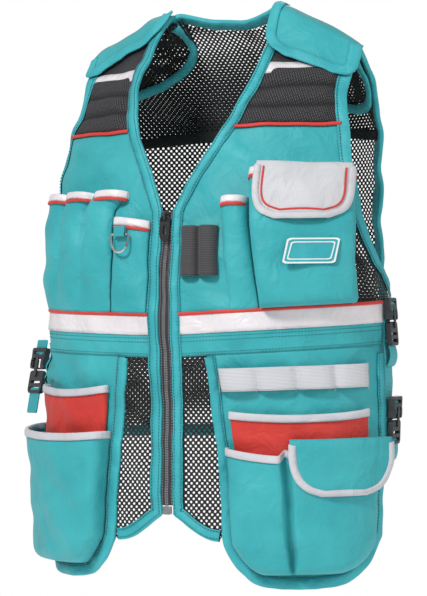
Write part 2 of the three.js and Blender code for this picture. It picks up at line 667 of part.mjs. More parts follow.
function addBack() {
  const mirrored = (line) => (drop) => 2 * GIRTH - line(drop);
  const neckEnd = opposite(neck.at(0));
  const neckShare = (round) => Math.abs(GIRTH - Math.abs(round)) / (GIRTH - neckEnd);
  const backNeck = (round) => BACK_NECK_DEPTH * (1 - neckShare(round) ** 2);
  const topEdge = (underNeck, underRidge) => (round) => Math.max(
    ridgeDrop(round) + underRidge,
    neckShare(round) < 1.5 ? Math.max(backNeck(round), 0) + underNeck : 0);
  const backCloth = shifted(backInset, EDGE_INSET);
  addPiece('back_panel', BLACK_MESH, panel({
    left: backCloth, right: mirrored(backCloth), thick: MESH, across: steps(20),
    down: [0, 0.018, 0.04, 0.072, 0.12, 0.19, 0.3, 0.48, 0.74, 1],
    top: topEdge(3.5 * EDGE_INSET, 3 * PLAY), bottom: fixed(BACK_LENGTH - EDGE_INSET),
  }));
  const bandFoot = (round) => (
    BACK_BAND + BACK_BAND_SAG * clamp(Math.abs(GIRTH - Math.abs(round)) / (GIRTH - SIDE), 0, 1) ** 2);
  addPiece('back_yoke', BLACK_MESH, panel({
    left: shifted(backFree, 4), right: mirrored(shifted(backFree, 4)), from: -2 * PLAY - MESH, thick: MESH, across: steps(18),
    down: [0, 0.1, 0.2, 0.32, 0.46, 0.7, 1], top: topEdge(besideBinding, 4), bottom: bandFoot,
  }));
  const acrossNeck = steps(10).map((s) => {
    const round = lerp(neckEnd, 2 * GIRTH - neckEnd, s);
    return [round, Math.max(backNeck(round), PLAY)];
  });
  addPiece('back_neck_binding', TEAL, foldedTape(acrossNeck, -1));
  const hemEnd = backFree(BACK_LENGTH);
  const acrossHem = steps(14).map((s) => [lerp(hemEnd, 2 * GIRTH - hemEnd, s), BACK_LENGTH]);
  addPiece('back_hem_binding', TEAL, foldedTape(acrossHem, 1));
}

// Columns of a pocket's wall: box stands upright at its sides, bellied rounds over
const BOX = [
  { s: 0, out: 0 }, { s: 0, out: 0.7 }, { s: 0.06, out: 1 }, { s: 0.28, out: 1 },
  { s: 0.5, out: 1 }, { s: 0.72, out: 1 }, { s: 0.94, out: 1 }, { s: 1, out: 0.7 }, { s: 1, out: 0 },
];
const CHEST_BOX = [
  { s: 0, out: 0 }, { s: 0, out: 0.75 }, { s: 0.05, out: 1 }, { s: 0.2, out: 1 }, { s: 0.42, out: 0.84 },
  { s: 0.64, out: 0.84 }, { s: 0.86, out: 1 }, { s: 0.95, out: 1 }, { s: 1, out: 0.75 }, { s: 1, out: 0 },
];
const PLEATED = [
  { s: 0, out: 0 }, { s: 0, out: 0.7 }, { s: 0.05, out: 1 }, { s: 0.2, out: 1 }, { s: 0.35, out: 1 },
  { s: 0.385, out: 0.3 }, { s: 0.42, out: 1 }, { s: 0.6, out: 1 }, { s: 0.78, out: 1 },
  { s: 0.92, out: 0.8 }, { s: 1, out: 0.4 }, { s: 1, out: 0 },
];
const BELLY = [
  { s: 0, out: 0 }, { s: 0.08, out: 0.6 }, { s: 0.26, out: 0.95 }, { s: 0.5, out: 1 },
  { s: 0.74, out: 0.95 }, { s: 0.92, out: 0.6 }, { s: 1, out: 0 },
];
const repeated = (columns, count) => {
  const all = [];
  for (let i = 0; i < count; i += 1) {
    columns.forEach(({ s, out }, k) => {
      if (i === 0 || k > 0) all.push({ s: (i + s) / count, out });
    });
  }
  return all;
};
// Rows of a pocket's wall: tapered lies down at the foot, boxed has a floor
const TAPERED = [{ t: 0, out: 1 }, { t: 0.35, out: 0.72 }, { t: 0.7, out: 0.4 }, { t: 1, out: 0.08 }];
const TOOL_ROWS = [
  { t: 0, out: 1 }, { t: 0.15, out: 0.88 }, { t: 0.42, out: 0.65 }, { t: 0.72, out: 0.4 },
  { t: 1, out: 0.08 },
];
const BOXED = [
  { t: 0, out: 1 }, { t: 0.3, out: 1 }, { t: 0.86, out: 1 }, { t: 0.96, out: 0.9 },
  { t: 1, out: 0.6 }, { t: 1, out: 0 },
];
const OPEN = [{ t: 0, out: 1 }, { t: 1, out: 1 }];

function addChestRight() {
  const side = -1;
  const slantTop = (round) => SLANT_POCKET.top + SLANT_POCKET.slant * (1 - round / (GIRTH * 0.13));
  const slantLeft = frontFree;
  const slantRight = fixed(GIRTH * 0.132);
  const toolLeft = (drop) => lerp(GIRTH * 0.104, GIRTH * 0.132 + 2 * PLAY,
    clamp((drop - TOOL_POCKET.top) / (SLANT_POCKET.top - 8 - TOOL_POCKET.top), 0, 1));
  addPiece('tool_pockets_right', TEAL, pocketWall({
    side, left: toolLeft, right: fixed(GIRTH * 0.398), top: fixed(TOOL_POCKET.top),
    bottom: shifted(waistTop, -PLAY), base: SEAT, depth: TOOL_POCKET.depth,
    columns: repeated(BELLY, TOOL_POCKET.count), rows: TOOL_ROWS,
  }));
  addPiece('slant_pocket_right', TEAL, pocketWall({
    side, left: slantLeft, right: slantRight, top: slantTop, bottom: shifted(waistTop, -PLAY),
    base: SEAT, depth: SLANT_POCKET.depth, columns: BELLY, rows: TAPERED,
  }));
}

function addChestLeft() {
  const side = 1;
  addPiece('elastic_loops_left', CHARCOAL, pocketWall({
    side, left: frontFree, right: fixed(GIRTH * 0.128), top: fixed(ELASTIC.top),
    bottom: fixed(ELASTIC.top + ELASTIC.height), base: SEAT, depth: ELASTIC.bulge,
    columns: repeated(BELLY, ELASTIC.loops), rows: OPEN,
  }));
  const penLean = (drop) => GIRTH * 0.024 * ((drop - PEN_POCKET.top) / (WAIST - PEN_POCKET.top));
  addPiece('pen_pocket_left', TEAL, pocketWall({
    side, left: (drop) => GIRTH * 0.13 + penLean(drop), right: (drop) => GIRTH * 0.19 + penLean(drop),
    top: fixed(PEN_POCKET.top), bottom: shifted(waistTop, -PLAY), base: SEAT,
    depth: PEN_POCKET.depth, columns: BELLY, rows: TAPERED,
  }));
  const chestLeft = (drop) => GIRTH * 0.193 + penLean(drop) + 2 * PLAY;
  const chestRight = (drop) => Math.min(armFree(drop), GIRTH * 0.405);
  addPiece('chest_pocket_left', TEAL, pocketWall({
    side, left: chestLeft, right: chestRight, top: fixed(CHEST_POCKET.top),
    bottom: shifted(waistTop, -PLAY), base: BIG_SEAT, depth: CHEST_POCKET.depth,
    columns: CHEST_BOX, rows: BOXED,
  }));
  const stand = ON_CLOTH + CHEST_POCKET.depth + CLOTH + FLAP_STAND + CLOTH;
  addPiece('chest_flap_left', GREY, hangingFlap({
    side, left: chestLeft, right: chestRight, columns: steps(7),
    profile: [
      { drop: CHEST_FLAP.root, out: ON_CLOTH, width: 0.88, under: 1, behind: 0 },
      { drop: CHEST_FLAP.root, out: stand * 0.8, width: 0.88, under: 1, behind: 0 },
      { drop: CHEST_FLAP.root + 4, out: stand, width: 0.88, under: 1, behind: 1 },
      { drop: lerp(CHEST_FLAP.root, CHEST_FLAP.foot, 0.6), out: stand, width: 0.88, under: 0, behind: 1 },
      { drop: lerp(CHEST_FLAP.root, CHEST_FLAP.foot, 0.88), out: stand, width: 0.8, under: 0, behind: 1 },
      { drop: CHEST_FLAP.foot, out: stand, width: 0.56, under: 0, behind: 1 },
    ],
  }));
}

function addSkirtPockets() {
  const redWall = SEAT + RED_POCKET.depth + CLOTH + PLAY;
  [['left', 1, RED_TOP.left], ['right', -1, RED_TOP.right]].forEach(([name, side, top]) => {
    addPiece(`red_pocket_${name}`, RED, pocketWall({
      side, left: shifted(SKIRTS[name].free, 8 * PLAY), right: fixed(GIRTH * RED_END[name]), top: fixed(top),
      bottom: fixed(top + RED_POCKET.height), base: SEAT, depth: RED_POCKET.depth,
      columns: BOX, rows: TAPERED,
    }));
  });
  addPiece('holster_pocket_right', TEAL, pocketWall({
    side: -1, left: SKIRTS.right.free, right: (drop) => Math.min(SKIRTS.right.end(drop), GIRTH * 0.47),
    top: (round) => HOLSTER.top - 8 * clamp(round / BELT_END, 0, 1), bottom: fixed(HOLSTER.bottom),
    base: BIG_SEAT, depth: HOLSTER.depth, columns: BOX, rows: BOXED,
  }));
  addPiece('pouch_left', TEAL, pocketWall({
    side: 1, left: SKIRTS.left.free, right: (drop) => Math.min(SKIRTS.left.end(drop), GIRTH * 0.455),
    top: fixed(POUCH.top), bottom: fixed(POUCH.bottom),
    base: BIG_SEAT, depth: POUCH.depth, columns: PLEATED, rows: BOXED,
  }));
  const stand = SEAT + POUCH.depth + CLOTH + FLAP_STAND + CLOTH;
  addPiece('pouch_flap_left', TEAL, hangingFlap({
    side: 1, left: fixed(GIRTH * 0.272), right: fixed(GIRTH * 0.462), columns: steps(6),
    profile: [
      { drop: POUCH_FLAP.root, out: redWall - 1.6 * PLAY, width: 1, under: 1, behind: 0 },
      { drop: POUCH_FLAP.root, out: stand * 0.85, width: 1, under: 1, behind: 0 },
      { drop: POUCH_FLAP.root + 3, out: stand, width: 1, under: 1, behind: 1 },
      { drop: lerp(POUCH_FLAP.root, POUCH_FLAP.foot, 0.55), out: stand, width: 0.97, under: 0, behind: 1 },
      { drop: lerp(POUCH_FLAP.root, POUCH_FLAP.foot, 0.85), out: stand, width: 0.8, under: 0, behind: 1 },
      { drop: POUCH_FLAP.foot, out: stand, width: 0.5, under: 0, behind: 1 },
    ],
  }));
  addPiece('webbing_loops_left', GREY, pocketWall({
    side: 1, left: SKIRTS.left.free, right: fixed(GIRTH * 0.445),
    top: (round) => WEBBING.top - 4 * clamp(round / BELT_END, 0, 1),
    bottom: (round) => WEBBING.top + WEBBING.height - 4 * clamp(round / BELT_END, 0, 1),
    base: SEAT, depth: WEBBING.bulge, columns: repeated(BELLY, WEBBING.loops), rows: OPEN,
  }));
}

// A frame on the vest: X along the cloth to the wearer's left, Y up it, Z straight out
function frameOn(round, drop, out) {
  const reach = 3;
  const up = onBody(round, drop - reach, out).sub(onBody(round, drop + reach, out)).normalize();
  const across = onBody(round + reach, drop, out).sub(onBody(round - reach, drop, out));
  const outward = across.cross(up).normalize();
  const frame = new THREE.Matrix4().makeBasis(up.clone().cross(outward), up, outward);
  return frame.setPosition(onBody(round, drop, out));
}

const corners = (points) => points.map(([x, y]) => new THREE.Vector2(x, y));
const box = (x0, y0, x1, y1) => corners([[x0, y0], [x1, y0], [x1, y1], [x0, y1]]);

// A plate between two parallel faces, from its back face at 0
function plate(outline, holes, thickness) {
  const shape = new THREE.Shape(outline);
  shape.holes = holes.map((hole) => new THREE.Path(hole));
  return new THREE.ExtrudeGeometry(shape, { depth: thickness, bevelEnabled: false });
}

// The same profile turned to run across the body: its x looks straight out, its y up
const acrossBody = (outline, holes, width) => (
  plate(outline, holes, width).translate(0, 0, -width / 2).rotateY(-Math.PI / 2));

function addZip() {
  const start = NECK_DEPTH + 2 * PLAY;
  const end = ZIP_END - ZIP_BOX.length;
  const columns = [
    { s: -1, out: 0 }, { s: -0.36, out: 0 }, { s: -0.3, out: 1 }, { s: 0.3, out: 1 },
    { s: 0.36, out: 0 }, { s: 1, out: 0 },
  ];
  addPiece('zip_tape', CHARCOAL, sheet(columns, steps(7), (column, t, outer) => (
    onBody(ZIP.half * column.s, lerp(start, end, t), outer * (ZIP.tape + ZIP.bead * column.out)))));
  const foot = plate(box(-ZIP_BOX.width / 2, 0, ZIP_BOX.width / 2, ZIP_BOX.length - PLAY), [],
    ZIP_BOX.thickness);
  addPiece('zip_box', STEEL, foot.applyMatrix4(frameOn(0, ZIP_END, 0)));

  const long = SLIDER.length / 2;
  const arch = SLIDER.arch / 2;
  const floor = SLIDER.plate + PLAY / 2;
  const roof = floor + SLIDER.clear;
  const profile = corners([
    [0, -long], [SLIDER.plate, -long], [SLIDER.plate, -arch], [roof + SLIDER.bridge, -arch],
    [roof + SLIDER.bridge, arch], [SLIDER.plate, arch], [SLIDER.plate, long], [0, long],
  ]);
  const window = box(floor, SLIDER.leg - arch, roof, arch - SLIDER.leg);
  const seat = frameOn(0, SLIDER.drop, ZIP.tape + ZIP.bead + PLAY / 2);
  addPiece('zip_slider', CHARCOAL, acrossBody(profile, [window], SLIDER.width).applyMatrix4(seat));

  const half = PULL.width / 2;
  const bar = PULL.thickness / 2;
  const tip = bar - PULL.length;
  const outline = corners([
    [-half, bar], [-half, tip + 7], [-half + 2, tip + 2], [-half + 4.5, tip],
    [half - 4.5, tip], [half - 2, tip + 2], [half, tip + 7], [half, bar],
  ]);
  const slot = box(-PULL.slot / 2, -bar - PULL.slotLength, PULL.slot / 2, -bar);
  const pull = plate(outline, [slot], PULL.thickness).translate(0, 0, (floor + roof) / 2 - bar);
  addPiece('zip_pull', CHARCOAL, pull.applyMatrix4(seat));
}

function addRing() {
  const rest = frameOn(-GIRTH * TAB.round, TAB.drop, TAB.out);
  const hang = TAB.thickness / 2;
  const eye = new THREE.Vector3(0, hang - TAB.height, hang);
  const bore = steps(10).slice(1).map((t) => new THREE.Vector2(
    hang + (TAB.bore / 2) * Math.cos(2 * Math.PI * t), eye.y + (TAB.bore / 2) * Math.sin(2 * Math.PI * t)));
  addPiece('ring_tab', RED, acrossBody(box(0, -TAB.height, TAB.thickness, 0), [bore], TAB.width)
    .applyMatrix4(rest));
  const half = (RING.width - RING.wire) / 2;
  const bend = [
    [-1, 0], [-0.5, 0], [0, 0], [0.5, 0], [1, 0], [1.02, 0.16], [0.97, 0.45], [0.75, 0.77], [0.4, 0.95],
    [0, 1], [-0.4, 0.95], [-0.75, 0.77], [-0.97, 0.45], [-1.02, 0.16],
  ].map(([x, y]) => new THREE.Vector3(x * half, eye.y - y * RING.drop, eye.z));
  const wire = new THREE.TubeGeometry(new THREE.CatmullRomCurve3(bend, true), 22, RING.wire / 2, 5, true);
  addPiece('d_ring', STEEL, wire.applyMatrix4(rest));
}

function addPatch() {
  const { width, height, lean } = PATCH;
  const outline = corners([
    [(-width - lean) / 2, -height / 2], [(width - lean) / 2, -height / 2],
    [(width + lean) / 2, height / 2], [(lean - width) / 2, height / 2],
  ]);
  addPiece('name_patch', TEAL, plate(outline, [], PATCH.thickness)
    .applyMatrix4(frameOn(GIRTH * PATCH.round, PATCH.drop, PATCH.out)));
}

// A web that hangs at the side, and what is buckled on it
function addSideStrap(name, round, [top, bottom]) {
  const half = STRAP.width / 2;
  addPiece(`side_strap_${name}`, TEAL, sheet(steps(2), steps(9), (s, t, outer) => (
    onBody(round + lerp(-half, half, s), lerp(top, bottom, t), ON_CLOTH + outer * STRAP.thickness))));
}

function addBuckle(name, round, drop) {
  const wide = BUCKLE.width / 2;
  const long = BUCKLE.length / 2;
  const { chamfer } = BUCKLE;
  const outline = corners([
    [-wide, chamfer - long], [chamfer - wide, -long], [wide - chamfer, -long], [wide, chamfer - long],
    [wide, long - chamfer], [wide - chamfer, long], [chamfer - wide, long], [-wide, long - chamfer],
  ]);
  addPiece(name, BLACK_PLASTIC, plate(outline, [], BUCKLE.thickness)
    .applyMatrix4(frameOn(round, drop, ON_CLOTH + STRAP.thickness + PLAY)));
}

addFront(1, 'left');
addFront(-1, 'right');
addShoulder(1, 'left');
addShoulder(-1, 'right');
addBack();
addChestRight();
addChestLeft();
addSkirtPockets();
addZip();
addRing();
addPatch();
const besideBelt = BELT_END + STRAP.width / 2 + 0.6 * PLAY;
addSideStrap('left', besideBelt, [368, 540]);
addBuckle('side_buckle_left_upper', besideBelt, 378);
addBuckle('side_buckle_left_lower', besideBelt, 492);
addSideStrap('right', -GIRTH * 0.425, [396, 485]);
addBuckle('side_buckle_right', -GIRTH * 0.425, 433);

export default vest;
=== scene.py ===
# %% [markdown]
# # A utility work vest
# A sleeveless vest of teal polyester with a black net back, held up at the shoulders.
# Every panel is a sheet that follows one rounded body, so the first job is to write that
# body down once. Each later piece then only says where it lies on it and how far it stands off.

# %% Load the frame
import math
import bpy
import numpy as np
from mathutils import Matrix, Vector


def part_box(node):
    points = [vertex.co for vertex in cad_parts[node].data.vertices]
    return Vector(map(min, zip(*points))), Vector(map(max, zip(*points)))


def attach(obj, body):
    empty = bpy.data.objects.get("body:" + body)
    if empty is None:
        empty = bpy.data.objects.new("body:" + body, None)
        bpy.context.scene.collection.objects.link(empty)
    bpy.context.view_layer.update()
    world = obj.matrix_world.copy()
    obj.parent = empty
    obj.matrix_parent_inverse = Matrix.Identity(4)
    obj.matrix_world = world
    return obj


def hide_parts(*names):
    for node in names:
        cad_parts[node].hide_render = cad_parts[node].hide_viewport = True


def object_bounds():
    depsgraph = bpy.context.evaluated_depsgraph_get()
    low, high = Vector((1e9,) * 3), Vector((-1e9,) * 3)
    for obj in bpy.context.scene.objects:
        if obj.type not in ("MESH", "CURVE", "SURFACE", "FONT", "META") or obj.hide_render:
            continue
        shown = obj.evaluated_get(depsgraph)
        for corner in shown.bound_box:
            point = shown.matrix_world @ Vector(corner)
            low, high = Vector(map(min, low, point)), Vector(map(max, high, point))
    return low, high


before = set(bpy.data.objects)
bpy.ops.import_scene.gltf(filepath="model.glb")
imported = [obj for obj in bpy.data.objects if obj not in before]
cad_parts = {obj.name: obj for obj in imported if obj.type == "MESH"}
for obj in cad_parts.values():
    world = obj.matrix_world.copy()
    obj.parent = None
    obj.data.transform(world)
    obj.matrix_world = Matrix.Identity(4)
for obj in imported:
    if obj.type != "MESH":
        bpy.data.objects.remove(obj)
CAD_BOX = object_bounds()
CAD_BOX = [[float(x) for x in corner] for corner in CAD_BOX]
MM = 0.001
scene = bpy.context.scene
print("frame:", len(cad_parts), "nodes")

# %% [markdown]
# ## The camera
# The photograph is taken from the wearer's left front at waist height, from nearly 4 m away,
# with the camera rolled by about a degree. A long lens keeps the verticals upright.

# %% The camera
IMAGE_HEIGHT = 596
AZIMUTH, ROLL = math.radians(29), math.radians(-1.2)
DISTANCE, MM_PER_PIXEL = 3700.0, 1.2
toward = Vector((math.sin(AZIMUTH), -math.cos(AZIMUTH), 0))
level_right = Vector((math.cos(AZIMUTH), math.sin(AZIMUTH), 0))
cam_right = level_right * math.cos(ROLL) + Vector((0, 0, 1)) * math.sin(ROLL)
cam_up = toward.cross(cam_right)
target = Vector((0, 0, -347)) - 11 * cam_right + 1 * cam_up
camera_data = bpy.data.cameras.new("photo_camera")
camera_data.sensor_fit = "VERTICAL"
camera_data.sensor_height = 36
camera_data.lens = 36 * DISTANCE / (MM_PER_PIXEL * IMAGE_HEIGHT)
camera_data.clip_end = 60
camera = bpy.data.objects.new("photo_camera", camera_data)
scene.collection.objects.link(camera)
place = Matrix((cam_right, cam_up, toward)).transposed().to_4x4()
place.translation = (target + toward * DISTANCE) * MM
camera.matrix_world = place
scene.camera = camera
scene.view_settings.view_transform = "Standard"
print("lens", round(camera_data.lens, 1), "mm")

# %% [markdown]
# ## The body under the cloth
# A waist ring between an ellipse and a box is swept down, and it swells out of the shoulder
# ridge. `round` is mm walked round the waist from the front centre, plus to the wearer's left;
# `walk` is mm below the ridge, with a minus sign down the back. Both are the flat cloth's own
# directions, so they serve as its UV map as well.

# %% The body's sizes
HALF_WIDTH, FRONT_DEPTH, BACK_DEPTH, AXIS_Y, RIDGE_Y = 218.0, 134.0, 106.0, -5.0, 20.0
LENGTH, NECK_HALF, TIP_HALF, SHOULDER_DROP = 679.0, 64.0, 198.0, 61.0
SHOULDER_FADE, FRONT_FALL, BACK_FALL, RING_POWER = 220.0, 380.0, 170.0, 2.4
CLOTH, TRIM, PLAY, BINDING = 1.4, 1.1, 0.9, 13.5  # thicknesses, play in a fold, width of a binding
FOLDED = 31  # flat width of the tape that is folded into a binding
SEWN_INSIDE = 15.3  # a pocket starts this far in from the panel's edge, clear of the binding
NECK_DEPTH, ARMHOLE_DEPTH, WAIST, ZIP_END, BACK_LENGTH = 243.0, 205.0, 364.0, 596.0, 515.0
YOKE_TAPE, YOKE_SEAM, YOKE_FOOT, YOKE_RIBS = 72.0, 78.5, 147.0, 3
SECTIONS = np.array([  # share of the length: width, front, back
    (0, .9, 1, 1), (.09, .93, 1, 1.02), (.21, .948, 1, 1.03), (.35, .955, 1, 1.03), (.435, .966, 1, 1),
    (.507, .988, 1, .97), (.61, .992, 1, .95), (.75, .99, 1.01, .95), (1, .975, 1.03, .97)])
FRONT_SWELL = np.array([(0, 0), (.03, .075), (.068, .163), (.15, .34), (.242, .52), (.387, .72),
                        (.63, .925), (.8, .98), (1, 1)])
BACK_SWELL = np.array([(0, 0), (.05, .23), (.12, .46), (.25, .68), (.45, .86), (.7, .965), (1, 1)])


def smooth(t):
    t = np.clip(t, 0, 1)
    return t * t * (3 - 2 * t)


def curve_through(table, value, column=1):
    """A smooth curve through a table's column."""
    xs, ys = table[:, 0], table[:, column]
    k = np.arange(len(xs))
    a, b = np.maximum(k - 1, 0), np.minimum(k + 1, len(xs) - 1)
    slope = (ys[b] - ys[a]) / (xs[b] - xs[a])
    i = np.clip(np.searchsorted(xs, value), 1, len(xs) - 1)
    span = xs[i] - xs[i - 1]
    t = np.clip((value - xs[i - 1]) / span, 0, 1)
    bend = (t**3 - 2 * t * t + t) * slope[i - 1] + (t**3 - t * t) * slope[i]
    return ys[i - 1] + (ys[i] - ys[i - 1]) * smooth(t) + span * bend


ring_angle = np.linspace(0, math.pi, 3001)
signed_power = lambda v: np.sign(v) * np.abs(v) ** (2 / RING_POWER)
ring_side, ring_front = signed_power(np.sin(ring_angle)), signed_power(np.cos(ring_angle))
ring_side[-1] = 0
ring_xy = np.stack([HALF_WIDTH * ring_side, ring_front * np.where(ring_front > 0, FRONT_DEPTH, BACK_DEPTH)], 1)
walked = np.concatenate([[0], np.cumsum(np.hypot(*np.diff(ring_xy, axis=0).T))])
GIRTH = walked[-1]
print("half the girth:", round(GIRTH, 1), "mm")

# %% Points on the body


def ring_at(r):
    w = np.mod(np.asarray(r, float) + GIRTH, 2 * GIRTH) - GIRTH
    side = np.where(w < 0, -1, 1) * np.interp(np.abs(w), walked, ring_side)
    return side, np.interp(np.abs(w), walked, ring_front)


def torso(r, level):
    side, front = ring_at(r)
    share = np.clip(level / LENGTH, 0, 1)
    x = HALF_WIDTH * curve_through(SECTIONS, share) * side
    ridge = -SHOULDER_DROP * np.clip((np.abs(x) - NECK_HALF) / (TIP_HALF - NECK_HALF), 0, 1.2)
    z = -level + ridge * (1 - smooth(level / SHOULDER_FADE))
    swell_front = curve_through(FRONT_SWELL, np.clip((ridge - z) / (ridge + FRONT_FALL), 0, 1))
    swell_back = curve_through(BACK_SWELL, np.clip((ridge - z) / (ridge + BACK_FALL), 0, 1))
    swell = swell_front + (swell_back - swell_front) * smooth((.45 - front) / .9)
    depth = np.where(front > 0, FRONT_DEPTH * curve_through(SECTIONS, share, 2),
                     BACK_DEPTH * curve_through(SECTIONS, share, 3))
    return np.stack([x, RIDGE_Y + (AXIS_Y - depth * front - RIDGE_Y) * swell, z], -1)


def opposite(r):
    """The same place across the body, on the other side of the shoulder ridge."""
    side, front = ring_at(r)
    back = np.interp(np.abs(side), ring_side[:1499:-1], walked[:1499:-1])
    ahead = np.interp(np.abs(side), ring_side[:1501], walked[:1501])
    return np.where(side < 0, -1, 1) * np.where(front > 0, back, ahead)


def over(r, walk):
    r, walk = np.broadcast_arrays(np.asarray(r, float), np.asarray(walk, float))
    return np.where((walk >= 0)[..., None], torso(r, np.abs(walk)), torso(opposite(r), np.abs(walk)))


def normal_at(r, walk):
    across = over(r + 2, walk) - over(r - 2, walk)
    down = over(r, walk + 2) - over(r, walk - 2)
    n = np.cross(down, across)
    return n / np.linalg.norm(n, axis=-1, keepdims=True)


# Creases in the cloth: place and direction in mm and degrees, then length, width, height
CREASES = [(-215, 428, 20, 50, 7, 4.2), (-225, 440, -18, 45, 6, 3.4), (-190, 420, 38, 40, 7, 3.0),
           (-235, 300, 60, 40, 9, 2.6), (-60, 330, 75, 60, 12, 1.5), (120, 190, 10, 60, 12, 1.8),
           (60, 210, -50, 70, 10, 1.4), (190, 470, 40, 50, 12, 1.5), (-150, 170, 15, 70, 14, 1.6),
           (-100, 185, -25, 60, 11, 1.3), (215, 240, 70, 60, 12, 1.6), (250, 340, -30, 50, 9, 2.2),
           (230, 360, 20, 50, 10, 1.8), (45, 345, 30, 40, 9, 1.2)]
waves = np.random.default_rng(7)
WAVES = [(waves.normal(size=3), waves.uniform(0, 6.28), length, height)
         for length, height in [(150, 1.2), (120, .9), (95, .9), (80, .9), (52, .7), (38, .5), (30, .3)]]


def wrinkle(p, r):
    """How far the cloth stands proud of the smooth body: long soft waves, and the creases."""
    out = np.zeros(p.shape[:-1])
    for direction, phase, length, height in WAVES:
        unit = direction / np.linalg.norm(direction)
        out += height * np.sin(p @ unit * 2 * math.pi / length + phase)
    for r0, drop0, turn, long, wide, height in CREASES:
        c, s = math.cos(math.radians(turn)), math.sin(math.radians(turn))
        dx, dy = r - r0, -p[..., 2] - drop0
        out += height * np.exp(-((dx * c + dy * s) / long) ** 2 - ((dy * c - dx * s) / wide) ** 2)
    return out * 1.25


def lift(r, walk, out):
    p = over(r, walk)
    return p + normal_at(r, walk) * (out + wrinkle(p, np.asarray(r, float)))[..., None]


def level_of(r, drop):
    r, drop = np.broadcast_arrays(np.asarray(r, float), np.asarray(drop, float))
    low, high = np.zeros(r.shape), np.full(r.shape, LENGTH * 1.1)
    for _ in range(24):
        middle = (low + high) / 2
        above = -torso(r, middle)[..., 2] < drop
        low, high = np.where(above, middle, low), np.where(above, high, middle)
    return (low + high) / 2


def on_body(r, drop, out):
    return lift(r, level_of(r, drop), out)


print("waist front at", on_body(0, WAIST, 0).round(1))

# %% [markdown]
# ## Turning sheets into meshes
# A grid of points becomes one sheet, and Solidify gives it the cloth's real thickness.
# The UV map holds millimetres, so every weave has the same scale on every piece.

# %% Mesh helpers
MIDDLE = np.array([0, 20, -260.0])


def own_name(name):
    """The frame's node keeps its name, so the dressed piece for it gets a longer one."""
    return f"{name}_dressed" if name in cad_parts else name


def mesh_from(name, points, faces, material, uv=None, smooth_faces=True):
    mesh = bpy.data.meshes.new(name)
    mesh.from_pydata((np.asarray(points) * MM).tolist(), [], faces)
    if uv is not None:
        layer = mesh.uv_layers.new(name="cloth")
        loops = np.zeros(len(mesh.loops), np.int32)
        mesh.loops.foreach_get("vertex_index", loops)
        layer.data.foreach_set("uv", np.asarray(uv, np.float32)[loops].ravel())
    mesh.polygons.foreach_set("use_smooth", [smooth_faces] * len(mesh.polygons))
    obj = bpy.data.objects.new(own_name(name), mesh)
    scene.collection.objects.link(obj)
    mesh.materials.append(material)
    return obj


def bake(obj):
    """Turns the object and its modifiers into one plain mesh."""
    evaluated = obj.evaluated_get(bpy.context.evaluated_depsgraph_get())
    mesh = bpy.data.meshes.new_from_object(evaluated)
    obj.modifiers.clear()
    obj.data = mesh
    return obj


def quads_of(index):
    """The four corners of every cell in a grid of vertex numbers."""
    return np.stack([index[:-1, :-1], index[1:, :-1], index[1:, 1:], index[:-1, 1:]], -1).reshape(-1, 4)


def chart_uv(across, along):
    """The UV map of a sheet in mm, from its places across and its places along."""
    return np.stack(np.meshgrid(across, along), -1)


def rim_of(*grids, start=0):
    """Down the first column of the grids, along the last row and up the last column."""
    parts = [a[start:, 0] for a in grids], [a[-1, 1:-1] for a in grids], [a[start:, -1][::-1] for a in grids]
    return np.concatenate([np.stack(part, 1) for part in parts])


def grid_sheet(name, P, uv, material, thick=CLOTH, loop=False):
    rows, cols = P.shape[:2]
    index = np.arange(rows * cols).reshape(rows, cols)
    if loop:
        index = np.concatenate([index, index[:, :1]], 1)
    quads = quads_of(index)
    flat = P.reshape(-1, 3)
    n = np.cross(flat[quads[:, 2]] - flat[quads[:, 0]], flat[quads[:, 3]] - flat[quads[:, 1]])
    if (n * (flat[quads[:, 0]] - MIDDLE)).sum() < 0:
        quads = quads[:, ::-1]
    obj = mesh_from(name, flat, quads.tolist(), material, uv.reshape(-1, 2))
    if thick:
        solid = obj.modifiers.new("thickness", "SOLIDIFY")
        solid.thickness = thick * MM
        solid.offset = -1
        bake(obj)
    return obj


pieces = {}


def keep(obj, *nodes, body="vest", slot=None, flat=None, held="hung", fill=None):
    """Hands a finished piece to the frame: what it replaces and rides on. What it is cut from is not used."""
    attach(obj, body)
    if nodes:
        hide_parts(*nodes)
    pieces[obj.name] = obj
    return obj


NARROWEST = 10.5  # NARROWEST = 10.5 # no flat size is taken as narrower than this, in mm


def flat_size(P):
    """Width, length and area of the sheet a grid of points was cut as."""
    wide = np.linalg.norm(np.diff(P, axis=1), axis=-1).sum(1)
    tall = np.linalg.norm(np.diff(P, axis=0), axis=-1).sum(0)
    across, down = P[1:, :-1] - P[:-1, :-1], P[:-1, 1:] - P[:-1, :-1]
    area = np.linalg.norm(np.cross(across, down), axis=-1).sum()
    w, l = float(wide.max()), float(max(tall.max(), area / wide.max()))
    return (max(w, NARROWEST), max(l, NARROWEST), float(np.clip(area, .3 * w * l, w * l)))


def strip(name, r0, across, drops, out, material, thick=1.4):
    """A band that hangs down the body: its places across, its drops and how far it stands off."""
    x, d = np.meshgrid(across, drops)
    P = on_body(r0 + x, d, out + 0 * x)
    return grid_sheet(name, P, np.stack([x, d], -1), material, thick), flat_size(P)


print("mesh helpers ready")

# %% [markdown]
# ## Materials
# All cloth here is polyester: a matt filament weave with a little sheen at grazing light.
# The real threads are 0.3 mm, too fine for this picture, so they are drawn at 1.5 mm.

# %% Material helpers


def linear(code):
    """An sRGB hex colour as the linear one that shaders use."""
    rgb = [int(code[i:i + 2], 16) / 255 for i in (1, 3, 5)]
    return (*[c / 12.92 if c <= .04045 else ((c + .055) / 1.055) ** 2.4 for c in rgb], 1)


WAVE = .314  # a wave texture of this scale repeats once in each unit


